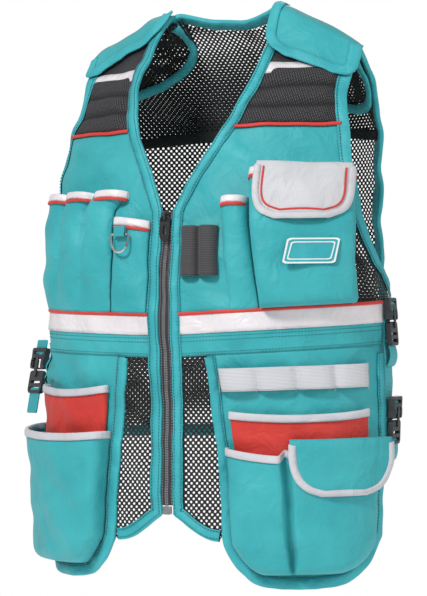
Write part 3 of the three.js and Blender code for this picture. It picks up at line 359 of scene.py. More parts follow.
def add(tree, kind, inputs=None, **settings):
    node = tree.nodes.new(kind)
    for key, value in settings.items():
        setattr(node, key, value)
    for key, value in (inputs or {}).items():
        if isinstance(value, bpy.types.NodeSocket):
            tree.links.new(value, node.inputs[key])
        else:
            node.inputs[key].default_value = value
    return node


def new_material(name):
    material = bpy.data.materials.new(name)
    material.use_nodes = True
    tree = material.node_tree
    return material, tree, tree.nodes["Principled BSDF"]


def set_surface(tree, shader, colour, bump, **values):
    """Links a finish's colour and bump to its shader, and sets its other values."""
    tree.links.new(colour.outputs[0], shader.inputs["Base Color"])
    tree.links.new(bump.outputs[0], shader.inputs["Normal"])
    for key, value in values.items():
        shader.inputs[key.replace("_", " ")].default_value = value


def woven(name, dark, light, thread=1.5, roughness=.6, sheen=.1, depth=.12, crumple=.8):
    """Plain-woven polyester: two crossed thread directions, soft dye variation, fine crumple."""
    material, tree, shader = new_material(name)
    where = add(tree, "ShaderNodeTexCoord")
    across = {"Vector": where.outputs["UV"], "Scale": WAVE / thread}
    warp = add(tree, "ShaderNodeTexWave", across, bands_direction="X")
    weft = add(tree, "ShaderNodeTexWave", across, bands_direction="Y")
    weave = add(tree, "ShaderNodeMath", {0: warp.outputs["Fac"], 1: weft.outputs["Fac"]}, operation="MULTIPLY")
    dye = add(tree, "ShaderNodeTexNoise", {"Vector": where.outputs["Object"], "Scale": 1 / .06, "Detail": 4})
    mixed = add(tree, "ShaderNodeMath", {0: weave.outputs[0], 1: .3, 2: dye.outputs["Fac"]},
                operation="MULTIPLY_ADD")
    ramp = add(tree, "ShaderNodeValToRGB", {"Fac": mixed.outputs[0]})
    ramp.color_ramp.elements[0].position, ramp.color_ramp.elements[0].color = .3, linear(dark)
    ramp.color_ramp.elements[1].position, ramp.color_ramp.elements[1].color = 1.0, linear(light)
    crumpled = add(tree, "ShaderNodeTexNoise",
                   {"Vector": where.outputs["Object"], "Scale": 1 / .03, "Detail": 3, "Distortion": .6})
    folds = add(tree, "ShaderNodeBump",
                {"Height": crumpled.outputs["Fac"], "Strength": crumple, "Distance": .006})
    bump = add(tree, "ShaderNodeBump", {"Height": weave.outputs[0], "Normal": folds.outputs[0],
                                        "Strength": depth, "Distance": .0002})
    set_surface(tree, shader, ramp, bump, Roughness=roughness, Sheen_Weight=sheen, Sheen_Roughness=.5, IOR=1.5)
    return material


# %% The finishes
teal = woven("teal_polyester_weave", "#229DA5", "#3FB9BE")  # dyed plain weave, soft and matt
teal_tape = woven("teal_binding_tape", "#229BA5", "#47C3CA", thread=1.2, crumple=.9)  # ribbed bias tape
red = woven("red_polyester_weave", "#C42A22", "#E23E33")
red_cord = woven("red_piping_cord", "#C62B23", "#E5443A", crumple=.2)
# cloth coated with glass beads: it sends light straight back, and looks white
reflective = woven("glass_bead_tape", "#DCD6DA", "#F2EEF0", roughness=.38, sheen=0, crumple=1)
grey = woven("grey_grosgrain_tape", "#BDBDC4", "#D9D9DE")  # ribbed ribbon
flap_grey = woven("grey_oxford_cloth", "#C2C3C7", "#D9DADE")
net_black = woven("black_polyester_net", "#0C0D0E", "#1E2022", roughness=.85, sheen=.1)  # warp-knit
binding_thread = woven("teal_sewing_thread", "#14707A", "#1F848D", thread=.4)
white_thread = woven("grey_sewing_thread", "#A7A8AE", "#C6C6CC", thread=.4)
zip_cloth = woven("charcoal_zip_tape", "#262428", "#3C393E", thread=.8, sheen=.02)  # woven zip tape


def spacer_mesh():
    """Knitted air mesh: charcoal loops over a lighter core, that shows as slanting dots."""
    material, tree, shader = new_material("charcoal_spacer_mesh")
    where = add(tree, "ShaderNodeTexCoord")
    turn = add(tree, "ShaderNodeMapping",
               {"Vector": where.outputs["UV"], "Rotation": (0, 0, .9), "Scale": (.5, .24, 1)})
    dots = add(tree, "ShaderNodeTexVoronoi", {"Vector": turn.outputs[0], "Scale": 1.0, "Randomness": .12})
    ramp = add(tree, "ShaderNodeValToRGB", {"Fac": dots.outputs["Distance"]})
    ramp.color_ramp.elements[0].position, ramp.color_ramp.elements[0].color = .18, linear("#565559")
    ramp.color_ramp.elements[1].position, ramp.color_ramp.elements[1].color = .42, linear("#161618")
    # painted shade: the quilting seams between the three ribs draw the mesh in, and the colour is darkened in these
    # grooves where shade falls
    height = add(tree, "ShaderNodeSeparateXYZ", {0: where.outputs["UV"]})
    turns = add(tree, "ShaderNodeMapRange", {0: height.outputs[1], 1: YOKE_SEAM, 2: YOKE_FOOT, 3: 0.0,
                                              4: YOKE_RIBS * math.pi})
    wave = add(tree, "ShaderNodeMath", {0: turns.outputs[0]}, operation="SINE")
    rib = add(tree, "ShaderNodeMath", {0: wave.outputs[0]}, operation="ABSOLUTE")
    shade = add(tree, "ShaderNodeMapRange", {0: rib.outputs[0], 1: 0.0, 2: .7, 3: .25, 4: 1.0})
    painted_groove_shade = add(tree, "ShaderNodeVectorMath", {0: ramp.outputs["Color"], "Scale": shade.outputs[0]},
                   operation="SCALE")
    bump = add(tree, "ShaderNodeBump", {"Height": dots.outputs["Distance"], "Strength": .5, "Distance": .0006})
    set_surface(tree, shader, painted_groove_shade, bump, Roughness=.85, Sheen_Weight=.03)
    return material


def ribbed(name, dark, light, pitch):
    """Elastic or webbing: ribs across the band, as wide as the pitch in mm."""
    material, tree, shader = new_material(name)
    where = add(tree, "ShaderNodeTexCoord")
    ribs = add(tree, "ShaderNodeTexWave",
               {"Vector": where.outputs["UV"], "Scale": WAVE / pitch, "Distortion": .4}, bands_direction="Y")
    ramp = add(tree, "ShaderNodeValToRGB", {"Fac": ribs.outputs["Fac"]})
    ramp.color_ramp.elements[0].color, ramp.color_ramp.elements[1].color = linear(dark), linear(light)
    bump = add(tree, "ShaderNodeBump", {"Height": ribs.outputs["Fac"], "Strength": .6, "Distance": .0004})
    set_surface(tree, shader, ramp, bump, Roughness=.75, Sheen_Weight=.15)
    return material


def moulded(name, dark, light, roughness, metallic=0.0):
    """A moulded or cast surface with faint grain and rubbed patches."""
    material, tree, shader = new_material(name)
    where = add(tree, "ShaderNodeTexCoord")
    grain, wear = [add(tree, "ShaderNodeTexNoise", {"Vector": where.outputs["Object"], "Scale": 1 / size, "Detail": 3})
                   for size in (.0015, .012)]
    ramp = add(tree, "ShaderNodeValToRGB", {"Fac": wear.outputs["Fac"]})
    ramp.color_ramp.elements[0].color, ramp.color_ramp.elements[1].color = linear(dark), linear(light)
    rough = add(tree, "ShaderNodeMapRange",
                {"Value": wear.outputs["Fac"], "To Min": roughness - .08, "To Max": roughness + .1})
    bump = add(tree, "ShaderNodeBump", {"Height": grain.outputs["Fac"], "Strength": .2, "Distance": .0002})
    tree.links.new(rough.outputs[0], shader.inputs["Roughness"])
    set_surface(tree, shader, ramp, bump, Metallic=metallic)
    return material


air_mesh = spacer_mesh()
elastic = ribbed("knitted_elastic", "#303033", "#4C4C50", 2.0)
webbing = ribbed("grey_polyester_webbing", "#BCBEC3", "#DBDCE0", 1.6)
teal_web = ribbed("teal_webbing", "#2B9CA5", "#48BDC4", 1.6)
plastic = moulded("black_acetal_buckle", "#26272A", "#44464A", .36)  # injection-moulded acetal
steel = moulded("nickelled_steel", "#A9AAAD", "#D5D5D8", .25, 1.0)  # bent wire, nickel plated
lacquered = moulded("lacquered_zinc_zip", "#2A2A2C", "#4A4A4E", .35, .6)
nylon = moulded("grey_nylon_teeth", "#77767A", "#A5A4A8", .4)
badge_white = woven("white_woven_label", "#E4E6E8", "#F7F8F8", crumple=.2)
print(len(bpy.data.materials), "materials")

# %% [markdown]
# ## Edges of the cut
# A pattern cutter draws the neck, the armholes and the skirts as smooth curves. The same
# curves are kept here as short tables, and everything sewn beside them reads off them.

# %% The edges


class Edge:
    """A smooth line of rounds and drops through a table of shares."""

    def __init__(self, table, start, span):
        p = np.array([(r * GIRTH, start + d * span) for d, r in table])
        n, dense = len(p), []
        for i in range(n - 1):
            a, b, c, d = p[max(i - 1, 0)], p[i], p[i + 1], p[min(i + 2, n - 1)]
            v0, v1 = (c - a) / 2, (d - b) / 2
            for t in np.linspace(0, 1, 24, endpoint=i == n - 2):
                bend = (2 * b - 2 * c + v0 + v1) * t**3 + (-3 * b + 3 * c - 2 * v0 - v1) * t * t
                dense.append(bend + v0 * t + b)
        self.points = np.array(dense)

    def at(self, drop):
        return np.interp(drop, self.points[:, 1], self.points[:, 0])

    def drop_at(self, r):
        return np.interp(r, self.points[:, 0], self.points[:, 1])

    def beside(self, sign, gap):
        slope = np.gradient(self.points[:, 0], self.points[:, 1])
        shift = gap * np.minimum(np.sqrt(1 + slope**2), 2.5)
        return lambda drop: np.interp(drop, self.points[:, 1], self.points[:, 0] + sign * shift)


BELT_END = .5 * GIRTH
waist_top = lambda r: WAIST - 10 * np.clip(np.abs(r) / BELT_END, 0, 1)
tape_foot = lambda r: waist_top(r) + 24
belt_foot = lambda r: waist_top(r) + 50
neck = Edge([(.01, .141), (.12, .147), (.24, .15), (.38, .143), (.5, .127), (.62, .105), (.78, .063),
             (.9, .034), (1, .0135)], 0, NECK_DEPTH)
front_arm = Edge([(.268, .402), (.36, .389), (.44, .38), (.54, .376), (.66, .386), (.78, .4), (.9, .41),
                  (1, .42)], 0, ARMHOLE_DEPTH)
low_arm = Edge([(0, .42), (.32, .444), (.62, .482), (.8, .52), (.92, .57), (1, .628)], ARMHOLE_DEPTH,
               WAIST - 10 - 14 - ARMHOLE_DEPTH)
back_arm = Edge([(.106, .6103), (.2, .617), (.3, .625), (.45, .637), (.65, .645), (1, .65)], 0, BACK_LENGTH)
gusset_hem = Edge([(0, .014), (.27, .035), (.63, .062), (.9, .092), (1, .122)], ZIP_END, 30)
SKIRT_INNER = [(0, .093), (.25, .108), (.5, .122), (.76, .129), (.85, .14), (.94, .172), (1, .225)]
SKIRT_OUTER = [(0, .5), (.7, .497), (.83, .482), (.93, .44), (1, .37)]
SKIRTS = {}
for name, length in (("left", LENGTH), ("right", LENGTH - 9)):
    top = float(belt_foot(0))
    SKIRTS[name] = (Edge(SKIRT_INNER, top, length - top), Edge(SKIRT_OUTER, top, length - top), length)
ridge_drop = lambda r: -torso(r, np.zeros(np.shape(r)))[..., 2]
SIDE_SEAM = .42 * GIRTH


def front_fold(gap):
    """A line at a gap from the neck, and below it from the zip."""
    return lambda d: np.where(d < NECK_DEPTH, np.maximum(neck.beside(1, gap)(d), 8 + gap), 8 + gap)


def under_arm(line, seam):
    """Along the armhole while there is one, and then down a seam."""
    return lambda d: np.minimum(np.where(d < ARMHOLE_DEPTH, line(d), 1e4), seam)


def as_lines(*edges):
    """Each edge as a function of a place: a number becomes a straight line."""
    return [f if callable(f) else (lambda v, f=f: np.full(np.shape(v), float(f))) for f in edges]


def place_on(line, drop):
    return float(line(np.array(float(drop))))


print("side seam", round(SIDE_SEAM, 1), "mm round from the zip")

# %% [markdown]
# ## Panels
# Each panel is a grid between two upright lines and two lines across. The spacing is about
# 4 mm, fine enough for the creases. Its edges hide under the folded binding.

# %% Panels


MID_DROP = 300.0  # a panel's first guess at its own middle is read off here


def between(left, right, top, bottom, s, t, mid_r, rounds):
    """Rounds and drops of a grid that lies between two upright lines and two lines across."""
    r = np.full(s.shape, mid_r)
    for _ in range(rounds):
        drop = top(r) * (1 - t) + bottom(r) * t
        r = left(drop) * (1 - s) + right(drop) * s
    return r, drop


def panel(name, side, left, right, top, bottom, out, material, thick=CLOTH, pitch=4.5, shape=None):
    left, right, top, bottom = as_lines(left, right, top, bottom)
    mid_r = (place_on(left, MID_DROP) + place_on(right, MID_DROP)) / 2
    wide = abs(place_on(right, MID_DROP) - place_on(left, MID_DROP))
    tall = abs(place_on(bottom, mid_r) - place_on(top, mid_r))
    s, t = np.meshgrid(*[np.linspace(0, 1, max(int(size / pitch), 3) + 1) for size in (wide, tall)])
    r, _ = between(left, right, top, bottom, s, t, mid_r, 8)
    drop = top(r) * (1 - t) + bottom(r) * t
    height = out + thick + (shape(s, t) if shape else 0)
    P = on_body(side * r, drop, height)
    return grid_sheet(name, P, np.stack([side * r, drop], -1), material, thick), flat_size(P)


def ribs(s, t):
    """Three padded ribs of foam between rows of stitching."""
    return 5 * np.abs(np.sin(math.pi * YOKE_RIBS * t)) ** .6 * smooth(s / .1 - 1.2) * smooth((1 - s) / .1 - 1.2)


for side, name in ((1, "left"), (-1, "right")):
    inner, outer, length = SKIRTS[name]
    fold, arm = front_fold(3.1), front_arm.beside(-1, 3.1)
    for piece, left, right, top, bottom, out, material, slot in (
        ("shoulder_strap", fold, arm, lambda r: ridge_drop(r) + 3, YOKE_SEAM, 0, zip_cloth, "grey_cloth"),
        ("yoke_mesh", fold, arm, YOKE_SEAM, YOKE_FOOT, 0, air_mesh, "air_mesh"),
        ("chest_panel", fold, under_arm(arm, SIDE_SEAM), YOKE_FOOT + .5, lambda r: waist_top(r) + 4, 0, teal,
         "teal_cloth"),
        ("waist_belt", 11, BELT_END, lambda r: waist_top(r) + 2, belt_foot, .5, teal, "teal_cloth"),
        ("skirt_panel", inner.beside(1, 3), outer.beside(-1, 4), lambda r: belt_foot(r) - 2, length - 6, 0, teal,
         "teal_cloth"),
        ("yoke_tape", front_fold(6), front_arm.beside(-1, 6), YOKE_TAPE, YOKE_TAPE + 13, 1.2, reflective,
         "reflective_tape"),
        ("waist_tape", 20, BELT_END, waist_top, tape_foot, 2.1, reflective, "reflective_tape"),
    ):
        node = f"{piece}_{name}"
        obj, flat = panel(node, side, left, right, top, bottom, out, material,
                          thick=TRIM if "tape" in piece else CLOTH, shape=ribs if piece == "yoke_mesh" else None)
        keep(obj, node, slot=slot, flat=flat)
print(len(pieces), "pieces so far")

# %% [markdown]
# ## Folded bindings and piped trims
# A bias tape is folded over every raw edge and sewn through. Its section is a soft U that
# puckers a little along its length, so it is swept point by point along the edge.

# %% Sweeps along an edge


def walked_along(points):
    """How far each point of a line is from its start."""
    return np.concatenate([[0], np.cumsum(np.linalg.norm(np.diff(points, axis=0), axis=1))])


def resample(path, pitch):
    path = np.asarray(path, float)
    step = walked_along(over(path[:, 0], path[:, 1]))
    at = np.linspace(0, step[-1], max(int(step[-1] / pitch), 2) + 1)
    return np.stack([np.interp(at, step, path[:, 0]), np.interp(at, step, path[:, 1])], 1), at


def across_edge(path, side):
    """For each place of a path, the chart step that moves 1 mm inwards over the cloth."""
    r, w = path.T
    p = over(r, w)
    tangent = np.gradient(p, axis=0)
    inside = np.cross(normal_at(r, w), tangent)
    inside *= side / np.linalg.norm(inside, axis=1, keepdims=True)
    a, b = (over(r + 1, w) - over(r - 1, w)) / 2, (over(r, w + 1) - over(r, w - 1)) / 2
    aa, bb, ab = (a * a).sum(1), (b * b).sum(1), (a * b).sum(1)
    ai, bi = (a * inside).sum(1), (b * inside).sum(1)
    det = aa * bb - ab * ab
    return np.stack([(ai * bb - bi * ab) / det, (bi * aa - ai * ab) / det], 1)


def swept(name, path, side, section, material, pitch=4.0, pucker=.25):
    """Sweeps a section of (mm inwards, mm out) points along a path of the chart."""
    path, at = resample(path, pitch)
    step = across_edge(path, side)
    section = np.asarray(section, float)
    wave = pucker * (np.sin(at / 3.1) + np.sin(at / 5.7 + 1.3))
    across = section[None, :, 0] + wave[:, None] * .5
    out = section[None, :, 1] + np.sign(section[None, :, 1] - .7) * wave[:, None] * .4
    r = path[:, :1] + step[:, :1] * across
    w = path[:, 1:] + step[:, 1:] * across
    P = lift(r, w, out)
    uv = chart_uv(walked_along(section), at)
    rows, cols = P.shape[:2]
    tube = grid_sheet(name, P, uv, material, thick=0, loop=True)
    corners = np.array([v.co[:] for v in tube.data.vertices])
    faces = [list(p.vertices) for p in tube.data.polygons]
    first, last = list(range(cols)), list(range((rows - 1) * cols, rows * cols))
    turned = max(faces[0][:2]) < cols  # the first face says which way round the two ends go
    faces += [first, last[::-1]] if turned else [first[::-1], last]
    bpy.data.objects.remove(tube)
    return mesh_from(name, corners / MM, faces, material, uv.reshape(-1, 2)), at[-1]


def fold_section(steps=7):
    """A U of tape: outside from the inner hem round the fold and back along the inside."""
    high, low, t = CLOTH + PLAY + TRIM, -PLAY - TRIM, TRIM * .8
    turns = np.linspace(-math.pi / 2, math.pi / 2, steps)
    heights = [(high + low) / 2 + (high - low) / 2 * math.sin(a) for a in turns]
    fold = [(max(1.5 * (1 - math.sin((i + .5) / steps * math.pi)), 0) - .4, y) for i, y in enumerate(heights)]
    inside = [(BINDING, high - t), (t, high - t), (t, low + t), (BINDING, low + t)]
    return [(BINDING, low), *fold, (BINDING, high), *inside]


def chart(points, side):
    """Rounds and drops as chart points."""
    points = np.asarray(points, float)
    return np.stack([side * points[:, 0], np.maximum(level_of(points[:, 0], points[:, 1]), 3)], 1)


def skirt_outline(name):
    """Down the inner edge, round the foot and up the outer edge, as one smooth curve."""
    length = SKIRTS[name][2]
    start = float(belt_foot(0))
    rows = [(max(start + d * (length - start), float(belt_foot(r * GIRTH)) + 1.8), r)
            for d, r in SKIRT_INNER + SKIRT_OUTER[::-1]]
    return Edge(rows, 0, 1).points


SECTION = fold_section()


def bind(node, path, side):
    """Sweeps the folded tape along the edge that a binding covers."""
    obj, long = swept(node, path, side, SECTION, teal_tape)
    keep(obj, node, slot="teal_cloth", flat=(FOLDED, long), held="folded")


paths = {}
for side, name in ((1, "left"), (-1, "right")):
    plain = np.array([(side * 8, d) for d in np.linspace(NECK_DEPTH + 4, ZIP_END - 4, 80)])
    over_ridge = [(side * neck.points[0, 0], w) for w in (-9, -6, -3, 0)]
    paths[f"front_binding_{name}"] = np.concatenate(
        [over_ridge, chart(neck.points, side), plain, chart(gusset_hem.points, side)])
    back = back_arm.points
    back = np.stack([side * opposite(back[:, 0]), -level_of(back[:, 0], back[:, 1])], 1)
    ridge = [(side * .402 * GIRTH, 0)]
    paths[f"armhole_binding_{name}"] = np.concatenate(
        [chart(low_arm.points, side)[::-1], chart(front_arm.points, side)[::-1][1:], ridge, back])
    paths[f"skirt_binding_{name}"] = chart(skirt_outline(name), side)
    for piece in ("front_binding", "armhole_binding", "skirt_binding"):
        bind(f"{piece}_{name}", paths[f"{piece}_{name}"], side)
neck_end = float(opposite(neck.at(2)))
s = np.linspace(0, 1, 60)
r = neck_end + (2 * GIRTH - 2 * neck_end) * s
back_neck = lambda r: 12 * (1 - (np.abs(GIRTH - np.abs(r)) / (GIRTH - neck_end)) ** 2)
bind("back_neck_binding", np.stack([r, np.maximum(back_neck(r), .9)], 1), -1)
hem_end = float(back_arm.beside(1, 15)(BACK_LENGTH - 1))
r = hem_end + (2 * GIRTH - 2 * hem_end) * s
bind("back_hem_binding", np.stack([r, np.full(len(r), BACK_LENGTH)], 1), 1)
print("bindings:", sum("binding" in n for n in pieces))

# %% [markdown]
# ## Pockets
# A patch pocket is one piece of cloth whose edges are sewn down and whose belly stands off.
# The seams are drawn as rows and columns that say how far each place stands out, and the
# corners between them are rounded before the sheet gets its thickness.

# %% Pocket walls
BOX = [(0, 0), (0, .7), (.06, 1), (.28, 1), (.5, 1), (.72, 1), (.94, 1), (1, .7), (1, 0)]
CHEST_BOX = [(0, 0), (0, .75), (.05, 1), (.2, 1), (.42, .84), (.64, .84), (.86, 1), (.95, 1), (1, .75), (1, 0)]
PLEATED = [(0, 0), (0, .7), (.05, 1), (.2, 1), (.35, 1), (.35, .95), (.385, .1), (.42, .95), (.42, 1), (.6, 1),
           (.78, 1), (.92, .8), (1, .4), (1, 0)]
BELLY = [(0, 0), (.08, .6), (.26, .95), (.5, 1), (.74, .95), (.92, .6), (1, 0)]
TAPERED = [(0, 1), (.35, .72), (.7, .4), (1, .08)]
TOOL_ROWS = [(0, 1), (.15, .88), (.42, .65), (.72, .4), (1, .08)]
BOXED = [(0, 1), (.3, 1), (.86, 1), (.96, .9), (1, .6), (1, 0)]
OPEN = [(0, 1), (1, 1)]


def repeated(columns, count):
    return [((i + s) / count, out) for i in range(count) for k, (s, out) in enumerate(columns) if i == 0 or k]


def rounded(table, scale, depth, pitch, cuts=2):
    """Cuts the corners of a section and walks it in even steps."""
    p = np.array(table, float)
    for _ in range(cuts):
        a, b = p[:-1] * .75 + p[1:] * .25, p[:-1] * .25 + p[1:] * .75
        p = np.concatenate([p[:1], np.stack([a, b], 1).reshape(-1, 2)[1:-1], p[-1:]])
    step = walked_along(p * [scale, depth])
    at = np.linspace(0, step[-1], max(int(step[-1] / pitch), 4) + 1)
    return np.interp(at, step, p[:, 0]), np.interp(at, step, p[:, 1]), at


def pocket(name, side, left, right, top, bottom, base, depth, columns, rows, material, pitch=3.2, sag=0.0):
    left, right, top, bottom = as_lines(left, right, top, bottom)
    mid_r = (place_on(right, MID_DROP) + place_on(left, MID_DROP)) / 2
    tall = place_on(bottom, mid_r) - place_on(top, mid_r)
    at_drop = place_on(top, mid_r) + tall / 2
    wide = place_on(right, at_drop) - place_on(left, at_drop)
    cs, cout, cat = rounded(columns, wide, depth, pitch)
    rs, rout, rat = rounded(rows, tall, depth, pitch)
    s, t = np.meshgrid(cs, rs)
    share = np.outer(rout, cout)
    r, drop = between(left, right, top, bottom, s, t, mid_r, 4)
    dip = sag * np.clip(share, 0, 1) * (1 - t) ** 2 * 4 * s * (1 - s)
    P = on_body(side * r, drop + dip, base + CLOTH + depth * share)
    obj = grid_sheet(name, P, chart_uv(side * cat, rat), material)
    mouth = np.stack([side * r[0], (drop + dip)[0], (base + CLOTH + depth * share)[0]], 1)
    return obj, flat_size(P), mouth


def along_line(name, line, rows, spacing, material, thick):
    """A strip whose rows of (mm down, mm out) all follow one line of round, drop and out."""
    P = np.stack([on_body(line[:, 0], line[:, 1] + down, line[:, 2] + out) for down, out in rows])
    uv = chart_uv(line[:, 0], np.arange(len(rows)) * spacing)
    return grid_sheet(name, P, uv, material, thick), flat_size(P)


def trimmed(name, mouth, fall, band, bead, stand=.9):
    """The light tape folded over the mouth, and the red cord under it."""
    rows = [(fall, stand), (fall * .66, stand + .25), (fall * .33, stand + .25), (.8, stand), (-.9, .3),
            (-1.1, -.9), (-.6, -CLOTH - .8), (fall * .5, -CLOTH - 1.0), (fall, -CLOTH - .9)]
    obj, flat = along_line(f"{name}_mouth_tape", mouth, rows, 3.0, band, .8)
    keep(obj, slot="grey_cloth", flat=flat, held="folded")
    if bead:
        rows = [(fall - .3, .6), (fall + .2, 1.9), (fall + 1.7, 2.3), (fall + 3.0, 1.7), (fall + 3.4, .4)]
        obj, _ = along_line(f"{name}_mouth_piping", mouth, rows, 1.0, red_cord, .5)
        keep(obj, slot="red_cloth")


SEAT, BIG_SEAT = 2.2, 2.65  # how far a small and a large pocket's seams stand off the body
slant_top = lambda r: 251 + 8 * (1 - np.abs(r) / (.13 * GIRTH))
tool_left = lambda d: .104 * GIRTH + (.028 * GIRTH + 1.8) * np.clip((d - 221) / 21, 0, 1)
lean = lambda d: .024 * GIRTH * (d - 233) / (WAIST - 233)
fold_free = front_fold(SEWN_INSIDE)
chest_left = lambda d: .193 * GIRTH + lean(d) + 1.8
chest_right = under_arm(front_arm.beside(-1, SEWN_INSIDE), .405 * GIRTH)
foot = lambda r: waist_top(r) - .9
skirt_in = {name: SKIRTS[name][0].beside(1, SEWN_INSIDE) for name in SKIRTS}
skirt_out = {name: SKIRTS[name][1].beside(-1, SEWN_INSIDE) for name in SKIRTS}
# name, side, its four edges, seat, depth, section across, section down, cloth, height of the mouth's tape
POCKETS = [
    ("tool_pockets_right", -1, tool_left, .398 * GIRTH, 221, foot, SEAT, 13, repeated(BELLY, 3), TOOL_ROWS,
     teal, 7.5),
    ("slant_pocket_right", -1, fold_free, .132 * GIRTH, slant_top, foot, SEAT, 9, BELLY, TAPERED, teal, 7.5),
    ("pen_pocket_left", 1, lambda d: .13 * GIRTH + lean(d), lambda d: .19 * GIRTH + lean(d), 233, foot,
     SEAT, 12, BELLY, TAPERED, teal, 7.5),
    ("chest_pocket_left", 1, chest_left, chest_right, 206, foot, BIG_SEAT, 24, CHEST_BOX, BOXED, teal, 7.5),
    ("red_pocket_left", 1, lambda d: skirt_in["left"](d) + 7.2, .438 * GIRTH, 478, 606, SEAT, 8,
     BOX, TAPERED, red, 7),
    ("red_pocket_right", -1, lambda d: skirt_in["right"](d) + 7.2, .385 * GIRTH, 447, 575, SEAT, 8,
     BOX, TAPERED, red, 7),
    ("holster_pocket_right", -1, skirt_in["right"], lambda d: np.minimum(skirt_out["right"](d), .47 * GIRTH),
     lambda r: 503 - 8 * np.clip(np.abs(r) / BELT_END, 0, 1), 655, BIG_SEAT, 26, BOX, BOXED, teal, 7),
    ("pouch_left", 1, skirt_in["left"], lambda d: np.minimum(skirt_out["left"](d), .455 * GIRTH),
     519, 664, BIG_SEAT, 22, PLEATED, BOXED, teal, 7),
]
SAG = {"pouch": 11, "holster": 5, "red": 5}  # the skirt's pockets, and how far their mouths hang in the middle
for *given, fall in POCKETS:
    name = given[0]
    kind = name.split("_")[0]
    obj, flat, mouth = pocket(*given, sag=SAG.get(kind, 0))
    keep(obj, name, slot="red_cloth" if kind == "red" else "teal_cloth", flat=flat)
    trimmed(name, mouth, fall, grey if kind in SAG else reflective, bead=kind not in SAG)
for name, side, left, right, top, bottom, bulge, loops, material, slot in (
    ("elastic_loops_left", 1, fold_free, .128 * GIRTH, 263, 320, 10, 2, elastic, "elastic"),
    ("webbing_loops_left", 1, skirt_in["left"], .445 * GIRTH, lambda r: 428 - 4 * np.abs(r) / BELT_END,
     lambda r: 455 - 4 * np.abs(r) / BELT_END, 8, 4, webbing, "grey_cloth"),
):
    obj, flat, _ = pocket(name, side, left, right, top, bottom, SEAT, bulge, repeated(BELLY, loops), OPEN,
                          material)
    keep(obj, name, slot=slot, flat=flat)
print("pockets:", len(POCKETS))

# %% [markdown]
# ## Flaps
# A flap is sewn above the mouth, comes out over it and hangs down in front. Its lower
# corners are cut round, and a folded tape runs along its free edge.

# %% Flaps


def flap(name, left, right, root, foot_drop, start, stand, widths, material, trim, piping=None):
    t = np.concatenate([np.zeros(1), np.linspace(0, 1, 26)])
    middle, half = (left + right) / 2, (right - left) / 2
    width = curve_through(np.array(widths), t)
    s = np.linspace(-1, 1, 41)
    drop = root + (foot_drop - root) * t[:, None] + 0 * s[None, :]
    r = middle + half * width[:, None] * s[None, :]

    def surface(r, drop):
        """How far the flap stands off the body at a place of it."""
        u = np.clip((drop - root) / (foot_drop - root), 0, 1)
        v = np.clip((r - middle) / (half * curve_through(np.array(widths), u)), -1, 1)
        return start + (stand - start) * (.86 + .14 * smooth(u * 8)) - 2.5 * np.abs(v) ** 3 * np.clip(u, .2, 1)

    out = np.where(np.arange(27)[:, None] == 0, start, surface(r, drop))
    P = on_body(r, drop, out)
    obj = grid_sheet(name, P, np.stack([r, drop], -1), material)
    keep(obj, name, slot="grey_cloth" if material is flap_grey else "teal_cloth", flat=flat_size(P))
    rim = rim_of(r, drop, out, start=3)
    centre = np.array([middle, root + (foot_drop - root) * .3])
    parts = [("edge_tape", -.9, 6.5, 1.0, trim)]
    if piping:
        parts.append(("inset_piping", 8.2, 10.4, 1.5, piping))
    for part, near, far, high, finish in parts:
        inward = centre - rim[:, :2]
        inward /= np.linalg.norm(inward, axis=1, keepdims=True)
        rows = [(near, .1), (near + .5, high), (far - .5, high), (far, .1)]
        if part == "edge_tape":
            rows = [(near, -1.6), (near - .3, 0), (near + .8, high), ((near + far) / 2, high + .4),
                    (far, high - .5)]
        at = [rim[:, :2] + inward * inset for inset, _ in rows]
        band = np.stack([on_body(*p.T, surface(*p.T) + rise) for p, (_, rise) in zip(at, rows)])
        uv = chart_uv(np.arange(len(rim)) * 3.0, np.arange(len(rows)) * 2.0)
        obj = grid_sheet(f"{name}_{part}", band, uv, finish, thick=.6)
        keep(obj, slot="red_cloth" if finish is red_cord else "grey_cloth",
             flat=flat_size(band) if part == "edge_tape" else None, held="folded")


over_pocket = lambda seat, depth: seat + depth + CLOTH + 3 + CLOTH + .6
flap("chest_flap_left", place_on(chest_left, 230), place_on(chest_right, 230), 199, 261, 3.5,
     over_pocket(2.3, 24),
     [(0, .88), (.5, .885), (.78, .82), (.92, .68), (1, .46)], flap_grey, flap_grey, red_cord)
flap("pouch_flap_left", .272 * GIRTH, .462 * GIRTH, 509, 573, 13, over_pocket(2.2, 22),
     [(0, 1), (.45, .98), (.75, .86), (.92, .66), (1, .42)], teal, grey)
print("flaps ready")

# %% [markdown]
# ## Net
# The back is a warp-knit net. A lattice of diamonds is laid on the body, and Geometry
# Nodes sets a round hole into each one: every face is extruded by nothing, its new rim is
# drawn onto a small circle and the lid is deleted. The threads are what is left.

# %% The net tree


